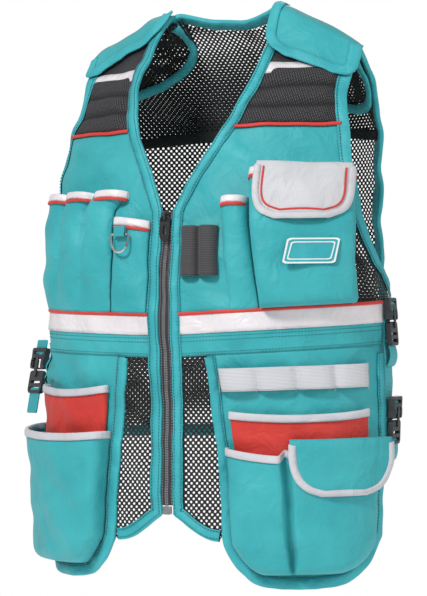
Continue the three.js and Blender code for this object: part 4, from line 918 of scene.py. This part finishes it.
def net_tree(material):
    tree = bpy.data.node_groups.new("net_of_" + material.name, "GeometryNodeTree")
    tree.interface.new_socket("Geometry", in_out="INPUT", socket_type="NodeSocketGeometry")
    radius = tree.interface.new_socket("Hole radius", in_out="INPUT", socket_type="NodeSocketFloat")
    tree.interface.new_socket("Geometry", in_out="OUTPUT", socket_type="NodeSocketGeometry")
    given, result = tree.nodes.new("NodeGroupInput"), tree.nodes.new("NodeGroupOutput")
    position = add(tree, "GeometryNodeInputPosition")
    centre = add(tree, "GeometryNodeCaptureAttribute", {"Geometry": given.outputs["Geometry"]}, domain="FACE")
    centre.capture_items.new("VECTOR", "centre")
    tree.links.new(position.outputs[0], centre.inputs[1])
    holes = add(tree, "GeometryNodeExtrudeMesh",
                {"Mesh": centre.outputs[0], "Offset Scale": 0.0, "Individual": True})
    away = add(tree, "ShaderNodeVectorMath", {0: position.outputs[0], 1: centre.outputs[1]},
               operation="SUBTRACT")
    unit = add(tree, "ShaderNodeVectorMath", {0: away.outputs[0]}, operation="NORMALIZE")
    rim = add(tree, "ShaderNodeVectorMath", {0: unit.outputs[0], "Scale": given.outputs["Hole radius"]},
              operation="SCALE")
    onto = add(tree, "ShaderNodeVectorMath", {0: centre.outputs[1], 1: rim.outputs[0]}, operation="ADD")
    lids = holes.outputs["Top"]
    moved = add(tree, "GeometryNodeSetPosition",
                {"Geometry": holes.outputs["Mesh"], "Selection": lids, "Position": onto.outputs[0]})
    open_net = add(tree, "GeometryNodeDeleteGeometry",
                   {"Geometry": moved.outputs[0], "Selection": lids}, domain="FACE")
    real = add(tree, "GeometryNodeRealizeInstances", {"Geometry": open_net.outputs[0]})
    finish = add(tree, "GeometryNodeSetMaterial", {"Geometry": real.outputs[0], "Material": material})
    tree.links.new(finish.outputs[0], result.inputs[0])
    return tree, radius.identifier


NET_TREE, HOLE_RADIUS = net_tree(net_black)


def net(name, inside, r_span, drop_span, out, hole=1.5, shift=(0.0, 0.0), wide=6.8, tall=7.2, along=None):
    """Diamonds on the body wherever inside(round, drop) says so, each with a round hole."""
    drops = np.linspace(0, 700, 1401)
    line = on_body(np.full(1401, r_span[0] * .5 + r_span[1] * .5 if along is None else along), drops, 0)
    run = walked_along(line)
    first, last = np.interp(drop_span, drops, run)
    i = np.arange(int((r_span[1] - r_span[0]) / wide) + 1)
    j = np.arange(int((last - first) / tall) + 1)
    I, J = np.meshgrid(i, j)
    centres = np.concatenate([np.stack([I + k, J + k], -1).reshape(-1, 2) for k in (0, .5)])
    ringed = np.array([(.5, 0), (.25, .25), (0, .5), (-.25, .25), (-.5, 0), (-.25, -.25), (0, -.5),
                       (.25, -.25)])
    corners = centres[:, None, :] + ringed[None]
    to_chart = lambda c: (r_span[0] + shift[0] + c[..., 0] * wide,
                          np.interp(first + shift[1] + c[..., 1] * tall, run, drops))
    good = inside(*to_chart(centres))
    corners = corners[good]
    key = np.round(corners.reshape(-1, 2) * 4).astype(int)
    unique, index = np.unique(key, axis=0, return_inverse=True)
    r, d = to_chart(unique / 4)
    points = on_body(r, np.maximum(d, ridge_drop(r) + .5), np.full(len(r), float(out)))
    faces = index.reshape(-1, 8)
    obj = mesh_from(name, points, faces.tolist(), net_black, np.stack([r, d], -1), smooth_faces=False)
    modifier = obj.modifiers.new("net", "NODES")
    modifier.node_group = NET_TREE
    modifier[HOLE_RADIUS] = hole * MM
    area = len(corners) * (wide * tall / 2 - math.pi * hole**2)  # the cut less its holes
    bake(obj)
    n, c = np.zeros((2, len(obj.data.polygons) * 3))
    obj.data.polygons.foreach_get("normal", n)
    obj.data.polygons.foreach_get("center", c)
    if (n.reshape(-1, 3) * (c.reshape(-1, 3) - MIDDLE * MM)).sum() < 0:
        obj.data.flip_normals()
    print(name, "holes:", len(corners))
    width, length = float(np.ptp(r)), float(np.ptp(np.interp(d, drops, run)))
    return obj, (width, length, float(np.clip(area, .31 * width * length, width * length)))


# %% The nets
back_edge = back_arm.beside(1, 4)
neck_share = lambda r: np.abs(GIRTH - np.abs(r)) / (GIRTH - neck_end)
back_top = lambda r, below: np.maximum(
    ridge_drop(r) + 3, np.where(neck_share(r) < 1.5, np.maximum(back_neck(r), 0) + below, 0))
mirror = lambda r: np.where(r > GIRTH, 2 * GIRTH - r, r)
in_back = lambda r, d: (mirror(r) > back_edge(d)) & (d > back_top(r, 6) + 2) & (d < BACK_LENGTH - 4)
obj, flat = net("back_panel", in_back, (.6 * GIRTH, 1.4 * GIRTH), (0, BACK_LENGTH), 1.2, along=GIRTH)
keep(obj, "back_panel", slot="black_mesh", flat=flat)
band_foot = lambda r: 148 + 20 * np.clip(np.abs(GIRTH - np.abs(r)) / (GIRTH * .4837), 0, 1) ** 2
in_yoke = lambda r, d: (mirror(r) > back_edge(d) + 6) & (d > back_top(r, 9)) & (d < band_foot(r))
obj, flat = net("back_yoke", in_yoke, (.6 * GIRTH, 1.4 * GIRTH), (0, 172), -2.6, shift=(1.0, 1.1), along=GIRTH,
                hole=1.35)
keep(obj, "back_yoke", slot="black_mesh", flat=flat)
for side, name in ((1, "left"), (-1, "right")):
    inner = SKIRTS[name][0]
    in_side = lambda r, d: ((np.abs(r) > SIDE_SEAM - 2) & (np.abs(r) < back_arm.at(d) - 1)
                            & (d > low_arm.drop_at(np.abs(r)) + 4) & (d < waist_top(r) + 3))
    span = (.4 * GIRTH, .66 * GIRTH) if side > 0 else (-.66 * GIRTH, -.4 * GIRTH)
    obj, flat = net(f"side_mesh_{name}", in_side, span, (200, 380), 1.2, along=side * .5 * GIRTH)
    keep(obj, f"side_mesh_{name}", slot="black_mesh", flat=flat)
    in_gusset = lambda r, d: ((np.abs(r) > 9) & (np.abs(r) < inner.at(d) + 4)
                              & (d > belt_foot(r) - 3) & (d < gusset_hem.drop_at(np.abs(r)) - 3))
    span = (8, .13 * GIRTH) if side > 0 else (-.13 * GIRTH, -8)
    obj, flat = net(f"gusset_mesh_{name}", in_gusset, span, (405, 625), 1.0, along=side * .06 * GIRTH)
    keep(obj, f"gusset_mesh_{name}", slot="black_mesh", flat=flat)

# The doubled yoke ends in a turned hem, dense enough to look solid
r = np.linspace(.635 * GIRTH, 1.365 * GIRTH, 110)
foot_line = band_foot(r)
rows = np.stack([on_body(r, foot_line + d, np.full(110, -3.4)) for d in (-9, -4, 0, 4)])
obj = grid_sheet("back_yoke_hem", rows, chart_uv(r, np.arange(4) * 4.0), net_black, .8)
keep(obj, slot="black_mesh", flat=flat_size(rows))

# %% [markdown]
# ## Shoulder pieces
# A foam pad lies over each shoulder on the outside, a net lining ringed with tape hangs
# inside the back, and a light tape runs along the ridge. The pads are crowned closed forms.

# %% Shoulders


def shoulder_grid(side, table, walk, pitch=3.5):
    table = np.array(table)
    tall = abs(walk[1] - walk[0])
    t = 1 - (1 - np.linspace(0, 1, int(tall / pitch) + 2)) ** 1.5 if len(table) > 2 else np.linspace(0, 1, 3)
    inner, outer = curve_through(table, t) * GIRTH, curve_through(table, t, 2) * GIRTH
    s = np.linspace(0, 1, 40)
    r = side * (inner[:, None] * (1 - s) + outer[:, None] * s)
    w = (walk[0] + (walk[1] - walk[0]) * t)[:, None] + 0 * s[None, :]
    return r, w, s[None, :] + 0 * t[:, None], t[:, None] + 0 * s[None, :]


PAD_ROWS = [(0, .135, .408), (.4, .138, .402), (.75, .148, .388), (.92, .17, .36), (1, .2, .325)]
LINING_ROWS = [(0, .14, .375), (.06, .135, .385), (.4, .12, .41), (.7, .135, .4), (.88, .17, .365),
               (1, .23, .31)]
PAD_FOLD = [(12, 9.9), (8, 10.0), (4, 9.4), (1, 8.4), (-.8, 7.4), (-.9, 6.6), (0, 5.4), (2, 4.7), (3, 6),
            (4, 7.6), (8, 9.2), (12, 9.2)]
LINING_FOLD = [(12, -5.8), (6, -5.4), (1, -5.8), (-.6, -7.6), (1, -9.6), (6, -10.2), (12, -9.7), (12, -8.9),
               (6, -9.2), (1.5, -8.6), (1, -7.6), (1.5, -6.8), (6, -6.4), (12, -6.6)]
UNDER_PAD = 4.57  # the pad's underside stands this far off the body
PAD_FRONT, PAD_BACK = {"left": 50, "right": 30}, {"left": 108, "right": 66}
for side, name in ((1, "left"), (-1, "right")):
    r, w, s, t = shoulder_grid(side, PAD_ROWS, (.9, PAD_FRONT[name]))
    edge = np.minimum(np.minimum(s, 1 - s) * 5.5, (1 - t) * 2.6 + .02)
    crown = np.sqrt(np.clip(edge, 0, 1))
    top, low = lift(r, w, UNDER_PAD + 2.2 + 2.4 * crown), lift(r, w, UNDER_PAD + 1.6 - 1.6 * crown)
    index = np.arange(r.size).reshape(r.shape)
    quads = quads_of(index)
    rim = np.concatenate([index[0, :], index[1:, -1], index[-1, -2::-1], index[-2:0:-1, 0]])
    wall = np.stack([rim, np.roll(rim, -1), np.roll(rim, -1) + r.size, rim + r.size], -1)
    faces = np.concatenate([quads, quads[:, ::-1] + r.size, wall])
    flat = np.concatenate([top.reshape(-1, 3), low.reshape(-1, 3)])
    n = np.cross(top[1, 1] - top[0, 0], top[0, 1] - top[1, 0])
    if (n * (top[1, 1] - MIDDLE)).sum() > 0:
        faces = faces[:, ::-1]
    uv = np.concatenate([np.stack([r, w], -1).reshape(-1, 2)] * 2)
    obj = mesh_from(f"shoulder_pad_{name}", flat, faces.tolist(), teal, uv)
    keep(obj, f"shoulder_pad_{name}", slot="teal_cloth", fill=.5)
    obj, long = swept(f"shoulder_pad_{name}_binding", rim_of(r, w), side, PAD_FOLD, teal_tape, pucker=.3)
    keep(obj, slot="teal_cloth", flat=(18, long), held="folded")
    r, w, s, t = shoulder_grid(side, LINING_ROWS, (-3.6, -PAD_BACK[name]))
    line = rim_of(r, w)
    obj, long = swept(f"shoulder_lining_{name}_binding", line, -side, LINING_FOLD, teal_tape, pucker=.4)
    keep(obj, slot="teal_cloth", flat=(27, long), held="folded")
    # the lining's own net, cut to the same outline
    outline_r, outline_w = opposite(line[:, 0]), -line[:, 1]
    outline_d = -torso(outline_r, outline_w)[..., 2]

    def in_lining(r, d, rr=outline_r, dd=outline_d):
        inside = np.zeros(r.shape, bool)
        for k in range(len(rr)):
            a, b = (rr[k - 1], dd[k - 1]), (rr[k], dd[k])
            cross = (a[1] > d) != (b[1] > d)
            at = (b[0] - a[0]) * (d - a[1]) / (b[1] - a[1] + 1e-9) + a[0]
            inside ^= cross & (r < at)
        return inside

    span = (float(outline_r.min()), float(outline_r.max()))
    obj, flat = net(f"shoulder_lining_{name}", in_lining, span, (4, float(outline_d.max())), -7.6,
                    wide=6.2, tall=6.6, shift=(1, 1), hole=1.3)
    keep(obj, f"shoulder_lining_{name}", slot="black_mesh", flat=flat)
    r, w, s, t = shoulder_grid(side, [(0, .175, .355), (1, .175, .35)], (-1.5, -6.5))
    P = lift(r, w, np.full(r.shape, 1.2 + .9 + 1.1))
    obj = grid_sheet(f"shoulder_tape_{name}", P, np.stack([r, w], -1), reflective, TRIM)
    keep(obj, f"shoulder_tape_{name}", slot="reflective_tape", flat=(100, 10.5), held="laid")
print("shoulders ready")

# %% [markdown]
# ## Piping, belt seams and stitches
# Red cord is caught in the seams of the yoke and the waist tape. Stitches are tiny
# capsules: one Geometry Nodes tree walks any line and drops a stitch at each step.

# %% Piping
YOKE_LINE = np.linspace(place_on(front_fold(13), YOKE_FOOT), place_on(front_arm.beside(-1, 12), YOKE_FOOT), 50)
WAIST_LINE = np.linspace(20, BELT_END, 80)
for side, name in ((1, "left"), (-1, "right")):
    for piece, line_r, line_d in (
        ("yoke_piping", YOKE_LINE, YOKE_FOOT + 0 * YOKE_LINE),
        ("waist_piping", WAIST_LINE, waist_top(WAIST_LINE) + .5),
    ):
        P = np.stack([on_body(side * line_r, line_d + 2.1 * math.cos(a), 2.3 + 1.7 * math.sin(a) + 1.0)
                      for a in np.linspace(0, 2 * math.pi, 9)[:-1]], 1)
        uv = np.stack(np.meshgrid(line_r, np.arange(8) * 1.6, indexing="ij"), -1)
        obj = grid_sheet(f"{piece}_{name}", P, uv, red_cord, 0, loop=True)
        keep(obj, *([f"yoke_piping_{name}"] if piece == "yoke_piping" else []), slot="red_cloth")

# %% Stitches


def stitch_tree(material):
    tree = bpy.data.node_groups.new("stitches_of_" + material.name, "GeometryNodeTree")
    tree.interface.new_socket("Geometry", in_out="INPUT", socket_type="NodeSocketGeometry")
    pitch = tree.interface.new_socket("Pitch", in_out="INPUT", socket_type="NodeSocketFloat")
    long = tree.interface.new_socket("Stitch length", in_out="INPUT", socket_type="NodeSocketFloat")
    thin = tree.interface.new_socket("Thread radius", in_out="INPUT", socket_type="NodeSocketFloat")
    tree.interface.new_socket("Geometry", in_out="OUTPUT", socket_type="NodeSocketGeometry")
    given, result = tree.nodes.new("NodeGroupInput"), tree.nodes.new("NodeGroupOutput")
    line = add(tree, "GeometryNodeMeshToCurve", {"Mesh": given.outputs["Geometry"]})
    spaced = add(tree, "GeometryNodeResampleCurve",
                 {"Curve": line.outputs[0], "Length": given.outputs["Pitch"]}, mode="LENGTH")
    tangent = add(tree, "GeometryNodeInputTangent")
    turned = add(tree, "FunctionNodeAlignRotationToVector", {"Vector": tangent.outputs[0]}, axis="Z")
    one = add(tree, "GeometryNodeMeshCylinder", {"Vertices": 5, "Radius": given.outputs["Thread radius"],
                                                 "Depth": given.outputs["Stitch length"]})
    placed = add(tree, "GeometryNodeInstanceOnPoints",
                 {"Points": spaced.outputs[0], "Instance": one.outputs["Mesh"], "Rotation": turned.outputs[0]})
    real = add(tree, "GeometryNodeRealizeInstances", {"Geometry": placed.outputs[0]})
    finish = add(tree, "GeometryNodeSetMaterial", {"Geometry": real.outputs[0], "Material": material})
    tree.links.new(finish.outputs[0], result.inputs[0])
    return tree, pitch.identifier, long.identifier, thin.identifier


STITCHES = {m.name: stitch_tree(m) for m in (binding_thread, white_thread, nylon)}


def stitched(name, lines, material=binding_thread, pitch=3.8, long=2.3, thin=.6, slot="teal_cloth"):
    """One object of stitches along lines of mm points."""
    points, edges = [], []
    for line in lines:
        first = len(points)
        points += list(line)
        edges += [(first + k, first + k + 1) for k in range(len(line) - 1)]
    mesh = bpy.data.meshes.new(name)
    mesh.from_pydata((np.array(points) * MM).tolist(), edges, [])
    obj = bpy.data.objects.new(name, mesh)
    scene.collection.objects.link(obj)
    modifier = obj.modifiers.new("stitches", "NODES")
    modifier.node_group, *ids = STITCHES[material.name]
    for key, value in zip(ids, (pitch, long, thin)):
        modifier[key] = value * MM
    bake(obj)
    return keep(obj, slot=slot)


def beside_path(path, side, across, out=3.75):
    path, _ = resample(path, 4)
    step = across_edge(path, side)
    return lift(path[:, 0] + step[:, 0] * across, path[:, 1] + step[:, 1] * across, np.full(len(path), out))


for side, name in ((1, "left"), (-1, "right")):
    lines = [beside_path(paths[f"{piece}_binding_{name}"], side, 11.6)
             for piece in ("front", "armhole", "skirt")]
    lines.append(beside_path(paths[f"front_binding_{name}"], side, 2.4))
    for below in (28, 32.5, 46, 49):
        r = np.linspace(24, BELT_END - 2, 90)
        lines.append(on_body(side * r, waist_top(r) + below, np.full(90, 1.75)))
    stitched(f"binding_stitches_{name}", lines)
print("stitches ready")

# %% [markdown]
# ## The zip
# Two woven tapes carry moulded teeth that mesh into one bead. The teeth come from the same
# tree as the stitches, as short thick capsules along two lines, because they repeat evenly too.

# %% Zip tape and teeth
z = np.linspace(NECK_DEPTH + 1.8, ZIP_END - 11, 120)
cross = np.array([-7.2, -5, -3, -2.4, -1.2, 0, 1.2, 2.4, 3, 5, 7.2])
rise = np.array([1.1, 1.15, 1.2, 1.9, 2.2, 2.25, 2.2, 1.9, 1.2, 1.15, 1.1])
obj, flat = strip("zip_tape", 0, cross, z, rise[None, :], zip_cloth, 1.0)
keep(obj, "zip_tape", slot="zip_black", flat=flat)
beside_zip = lambda x, out: [on_body(np.full(len(z), k * x), z, np.full(len(z), out)) for k in (-1, 1)]
stitched("zip_teeth", beside_zip(1.15, 2.35), nylon, pitch=2.0, long=1.15, thin=.95, slot="zip_metal")
stitched("zip_tape_stitches", beside_zip(5.9, 1.35), white_thread, pitch=3.2, long=1.8, thin=.3, slot="zip_black")

# %% [markdown]
# ## Hard pieces
# Slider, pull, stop box and buckles are castings and mouldings with flat faces and soft
# edges. Each is drawn as an outline, and a curve with depth and bevel makes a plate of it
# that is then set on the body, because that is how such parts are drawn for their mould.

# %% Frames and plates


def frame_on(r, drop, out):
    """Across, up and outward directions at a place, and the place, in mm."""
    up = on_body(r, drop - 3, out) - on_body(r, drop + 3, out)
    up /= np.linalg.norm(up)
    across = on_body(r + 3, drop, out) - on_body(r - 3, drop, out)
    outward = np.cross(across, up)
    outward /= np.linalg.norm(outward)
    return np.stack([np.cross(up, outward), up, outward]), on_body(r, drop, out)


def plate(name, outline, low, high, seat, material, bevel=.6, holes=()):
    """A plate with rounded edges between two heights, from its outline in its own frame."""
    axes, origin = seat
    curve = bpy.data.curves.new(name, "CURVE")
    curve.dimensions = "2D"
    curve.fill_mode = "BOTH"
    curve.extrude = (high - low) / 2 - bevel
    curve.bevel_depth = bevel
    curve.bevel_resolution = 2
    curve.offset = -bevel
    for loop in (outline, *holes):
        spline = curve.splines.new("POLY")
        spline.points.add(len(loop) - 1)
        for point, (x, y) in zip(spline.points, loop):
            point.co = (x, y, 0, 1)
        spline.use_cyclic_u = True
    holder = bpy.data.objects.new(name, curve)
    scene.collection.objects.link(holder)
    mesh = bpy.data.meshes.new_from_object(holder.evaluated_get(bpy.context.evaluated_depsgraph_get()))
    bpy.data.objects.remove(holder)
    co = np.zeros(len(mesh.vertices) * 3)
    mesh.vertices.foreach_get("co", co)
    co = co.reshape(-1, 3) + [0, 0, (high + low) / 2]
    world = (co @ axes + origin) * MM
    mesh.vertices.foreach_set("co", world.ravel())
    mesh.materials.clear()
    mesh.materials.append(material)
    obj = bpy.data.objects.new(own_name(name), mesh)
    scene.collection.objects.link(obj)
    return obj


def soften(points, cut=.25, times=2):
    p = np.array(points, float)
    for _ in range(times):
        q = np.roll(p, -1, axis=0)
        p = np.stack([p * (1 - cut) + q * cut, p * cut + q * (1 - cut)], 1).reshape(-1, 2)
    return p.tolist()


def joined(name, parts):
    points, faces, count = [], [], 0
    for part in parts:
        points += [v.co[:] for v in part.data.vertices]
        faces += [[i + count for i in p.vertices] for p in part.data.polygons]
        count = len(points)
    material = parts[0].data.materials[0]
    for part in parts:
        bpy.data.objects.remove(part)
    return mesh_from(name, np.array(points) / MM, faces, material, smooth_faces=False)


rect = lambda x0, y0, x1, y1: [(x0, y0), (x1, y0), (x1, y1), (x0, y1)]

# %% The stop box and the slider
seat = frame_on(0, ZIP_END, 0)
keep(plate("zip_box", soften(rect(-5.5, 0, 5.5, 10.1), .12), 0, 3.4, seat, steel), "zip_box", slot="zip_metal")
seat = frame_on(0, 251, 1.2 + 1.4 + .45)
wedge = soften([(-4, 7.5), (-3, -7.5), (3, -7.5), (4, 7.5), (1.2, 7.5), (0, 5.6), (-1.2, 7.5)], .15)
body = plate("slider_body", wedge, 0, 1.8, seat, lacquered, .4)
legs = [plate(f"slider_leg_{y}", soften(rect(-1.3, y, 1.3, y + 1.5), .15), 1.6, 6.0, seat, lacquered, .3)
        for y in (-4, 2.5)]
bridge = plate("slider_bridge", soften(rect(-1.5, -4, 1.5, 4), .15), 4.65, 5.95, seat, lacquered, .35)
keep(joined("zip_slider", [body, *legs, bridge]), "zip_slider", slot="zip_black")
half = [(6.5, .8), (6.5, -22.2), (4.5, -27.2), (2, -29.2)]
outline = soften([(-x, y) for x, y in half] + half[::-1], .12)
holes = [rect(-5.3, -5.6, 5.3, -.8), soften(rect(-2.2, -22, 2.2, -10), .2)]
keep(plate("zip_pull", outline, 2.65, 4.25, seat, lacquered, .35, holes), "zip_pull", body="pull",
     slot="zip_black")
for node, finish in (("d_ring", steel), ("ring_tab", teal_web)):
    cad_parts[node].data.materials.clear()
    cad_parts[node].data.materials.append(finish)
low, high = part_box("d_ring")
print("ring box", [round(x * 1000, 1) for x in (*low, *high)])

# %% [markdown]
# ## Buckles and side straps
# Side-release buckles are moulded acetal: a frame with a slot for the web at each end and
# two prongs that show through the sides. They stay fastened, so each one is built as one body.

# %% Side straps
STRAP_LEFT, STRAP_RIGHT, STRAP_OUT = BELT_END + 12.5 + .54, -.425 * GIRTH, 2.3 + 1.6
for name, r0, top, bottom in (("left", STRAP_LEFT, 368, 540), ("right", STRAP_RIGHT, 396, 485)):
    d = np.linspace(top, bottom, 50)
    out = STRAP_OUT + .8 * np.sin((d - top) / 23)
    obj, flat = strip(f"side_strap_{name}", r0, np.linspace(-12.5, 12.5, 9), d, out[:, None], teal_web)
    keep(obj, f"side_strap_{name}", slot="teal_cloth", flat=flat)

# %% Buckles
shell = soften([(-15, 2), (-14, 10), (-15, 26), (-13, 28), (13, 28), (15, 26), (14, 10), (15, 2)], .1)
latch = soften([(-14.5, 0), (-15, -24), (-12, -28), (12, -28), (15, -24), (14.5, 0)], .1)
web_slot, strap_slot = soften(rect(-11, 20, 11, 24), .15), soften(rect(-11, -24, 11, -20), .15)
sides = [soften(rect(-13.4, 4, -9.5, 14), .2), soften(rect(9.5, 4, 13.4, 14), .2)]


def turned(axes, first, second, degrees):
    """The axes with two of them turned towards each other."""
    c, s = math.cos(math.radians(degrees)), math.sin(math.radians(degrees))
    result = axes.copy()
    result[first], result[second] = axes[first] * c + axes[second] * s, axes[second] * c - axes[first] * s
    return result


for node, r0, drop in (("side_buckle_left_upper", STRAP_LEFT, 378), ("side_buckle_left_lower", STRAP_LEFT, 492),
                       ("side_buckle_right", STRAP_RIGHT, 433)):
    axes, origin = frame_on(r0, drop, STRAP_OUT + .9)
    if node == "side_buckle_right":  # it hangs turned to the front and a little askew
        origin = origin + axes[2] * 9
        axes = turned(turned(axes, 0, 2, -42), 0, 1, 10)
    seat = (axes, origin)
    parts = [
        plate("a", shell, 0, 8.5, seat, plastic, 1.2, [web_slot, *sides]),
        plate("b", latch, .8, 7.2, seat, plastic, 1.0, [strap_slot, soften(rect(-11, -15.5, 11, -12.5), .15)]),
        plate("c", soften(rect(-3, -8, 3, 16), .2), 7.5, 9.4, seat, plastic, .5),
        plate("d", soften(rect(-12.6, 2, -10, 12), .2), 2, 7.6, seat, plastic, .5),
        plate("e", soften(rect(10, 2, 12.6, 12), .2), 2, 7.6, seat, plastic, .5),
    ]
    keep(joined(node, parts), node, slot="black_plastic")
    if node == "side_buckle_right":
        for part, low, high in (("upper", 21, 38), ("tail", -52, -21)):
            outline = soften(rect(-10.5, low, 10.5, high), .06)
            keep(plate(f"right_web_{part}", outline, 3.2, 5.6, seat, teal_web, .5), slot="teal_cloth",
                 flat=(21, high - low))

# %% Web ends at the buckles
bow = np.sin(np.linspace(0, math.pi, 16)) ** .6
for part, first, last in (("upper", 352, 372), ("lower", 466, 486), ("upper_tail", 398, 430),
                          ("lower_tail", 512, 540)):
    obj, flat = strip(f"web_loop_{part}", STRAP_LEFT, np.linspace(-11, 11, 9), np.linspace(first, last, 16),
                      6.4 + 5.5 * bow[:, None], teal_web)
    keep(obj, slot="teal_cloth", flat=flat, held="folded")
ends = np.linspace(place_on(skirt_in["left"], 440), .445 * GIRTH, 5)
tacks = [on_body(np.full(12, x), np.linspace(427, 454, 12), np.full(12, 4.6)) for x in ends]
stitched("webbing_bar_tacks", tacks, white_thread, pitch=1.9, long=1.3, thin=.55, slot="grey_cloth")

# %% [markdown]
# ## The name patch
# A woven label with two light outlines is sewn on the chest pocket. It is left plain, and
# each outline is a thin plate with a hole in it, so that it stands up from the label as thread does.

# %% The name patch
seat = frame_on(.319 * GIRTH, 297, 25.3)
outer_line = [(-35, -15), (27, -15), (35, 15), (-27, 15)]
keep(plate("name_patch", soften(outer_line, .06), 0, 1.0, seat, teal_tape, .3), "name_patch", slot="teal_cloth")
for part, near, far in (("edge", 1.0, .93), ("inner_line", .84, .79)):
    loops = [soften([(x * k, y * (1.8 * k - .8)) for x, y in outer_line], .06) for k in (near, far)]
    keep(plate(f"name_patch_{part}", loops[0], .9, 1.6, seat, badge_white, .2, loops[1:]), slot="teal_cloth")
print("pieces:", len(pieces))

# %% [markdown]
# ## Stage and light
# The photograph is a cut-out on white. A pale floor well below the hem, a white surround
# and soft lamps give the same flat, clean light. The surround looks whiter than it lights.

# %% Stage and light
FLOOR, FLOOR_RADIUS = -950.0, 1700.0
angles = np.linspace(0, 2 * math.pi, 65)[:-1]
points = [(FLOOR_RADIUS * math.cos(a), FLOOR_RADIUS * math.sin(a), FLOOR) for a in angles]
faces = [list(range(64))]
paper, tree, shader = new_material("white_studio_paper")
grain = add(tree, "ShaderNodeTexNoise", {"Scale": 3.0})
ramp = add(tree, "ShaderNodeValToRGB", {"Fac": grain.outputs["Fac"]})
ramp.color_ramp.elements[0].color, ramp.color_ramp.elements[1].color = linear("#F6F6F6"), linear("#FBFBFB")
tree.links.new(ramp.outputs["Color"], shader.inputs["Base Color"])
shader.inputs["Roughness"].default_value = .9
shader.inputs["Emission Color"].default_value = (1, 1, 1, 1)
shader.inputs["Emission Strength"].default_value = .15
backdrop = mesh_from("studio_floor", np.array(points), faces, paper)
world = bpy.data.worlds.new("studio")
world.use_nodes = True
sky = world.node_tree
seen = add(sky, "ShaderNodeLightPath")
strength = add(sky, "ShaderNodeMapRange", {"Value": seen.outputs["Is Camera Ray"], "To Min": .4, "To Max": 1.0})
sky.nodes["Background"].inputs["Color"].default_value = (1, 1, 1, 1)
sky.links.new(strength.outputs[0], sky.nodes["Background"].inputs["Strength"])
scene.world = world


def lamp(name, azimuth, height, distance, size, power):
    data = bpy.data.lights.new(name, "AREA")
    data.shape, data.size, data.energy = "DISK", size, power
    obj = bpy.data.objects.new(name, data)
    scene.collection.objects.link(obj)
    a = math.radians(azimuth)
    spot = Vector((math.sin(a) * distance, -math.cos(a) * distance, height))
    obj.location = spot
    obj.rotation_euler = (Vector((0, 0, -.35)) - spot).to_track_quat("-Z", "Y").to_euler()


lamp("key", -5, 1.6, 2.4, .7, 62)
lamp("fill", 80, .4, 2.8, 1.8, 16)
lamp("back", 200, 1.2, 2.6, 1.8, 22)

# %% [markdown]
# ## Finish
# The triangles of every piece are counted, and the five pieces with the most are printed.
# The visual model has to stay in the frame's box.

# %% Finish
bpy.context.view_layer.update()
triangles = {name: sum(len(p.vertices) - 2 for p in o.data.polygons) for name, o in pieces.items()}
print("triangles:", sum(triangles.values()), sorted(triangles.items(), key=lambda x: -x[1])[:5])
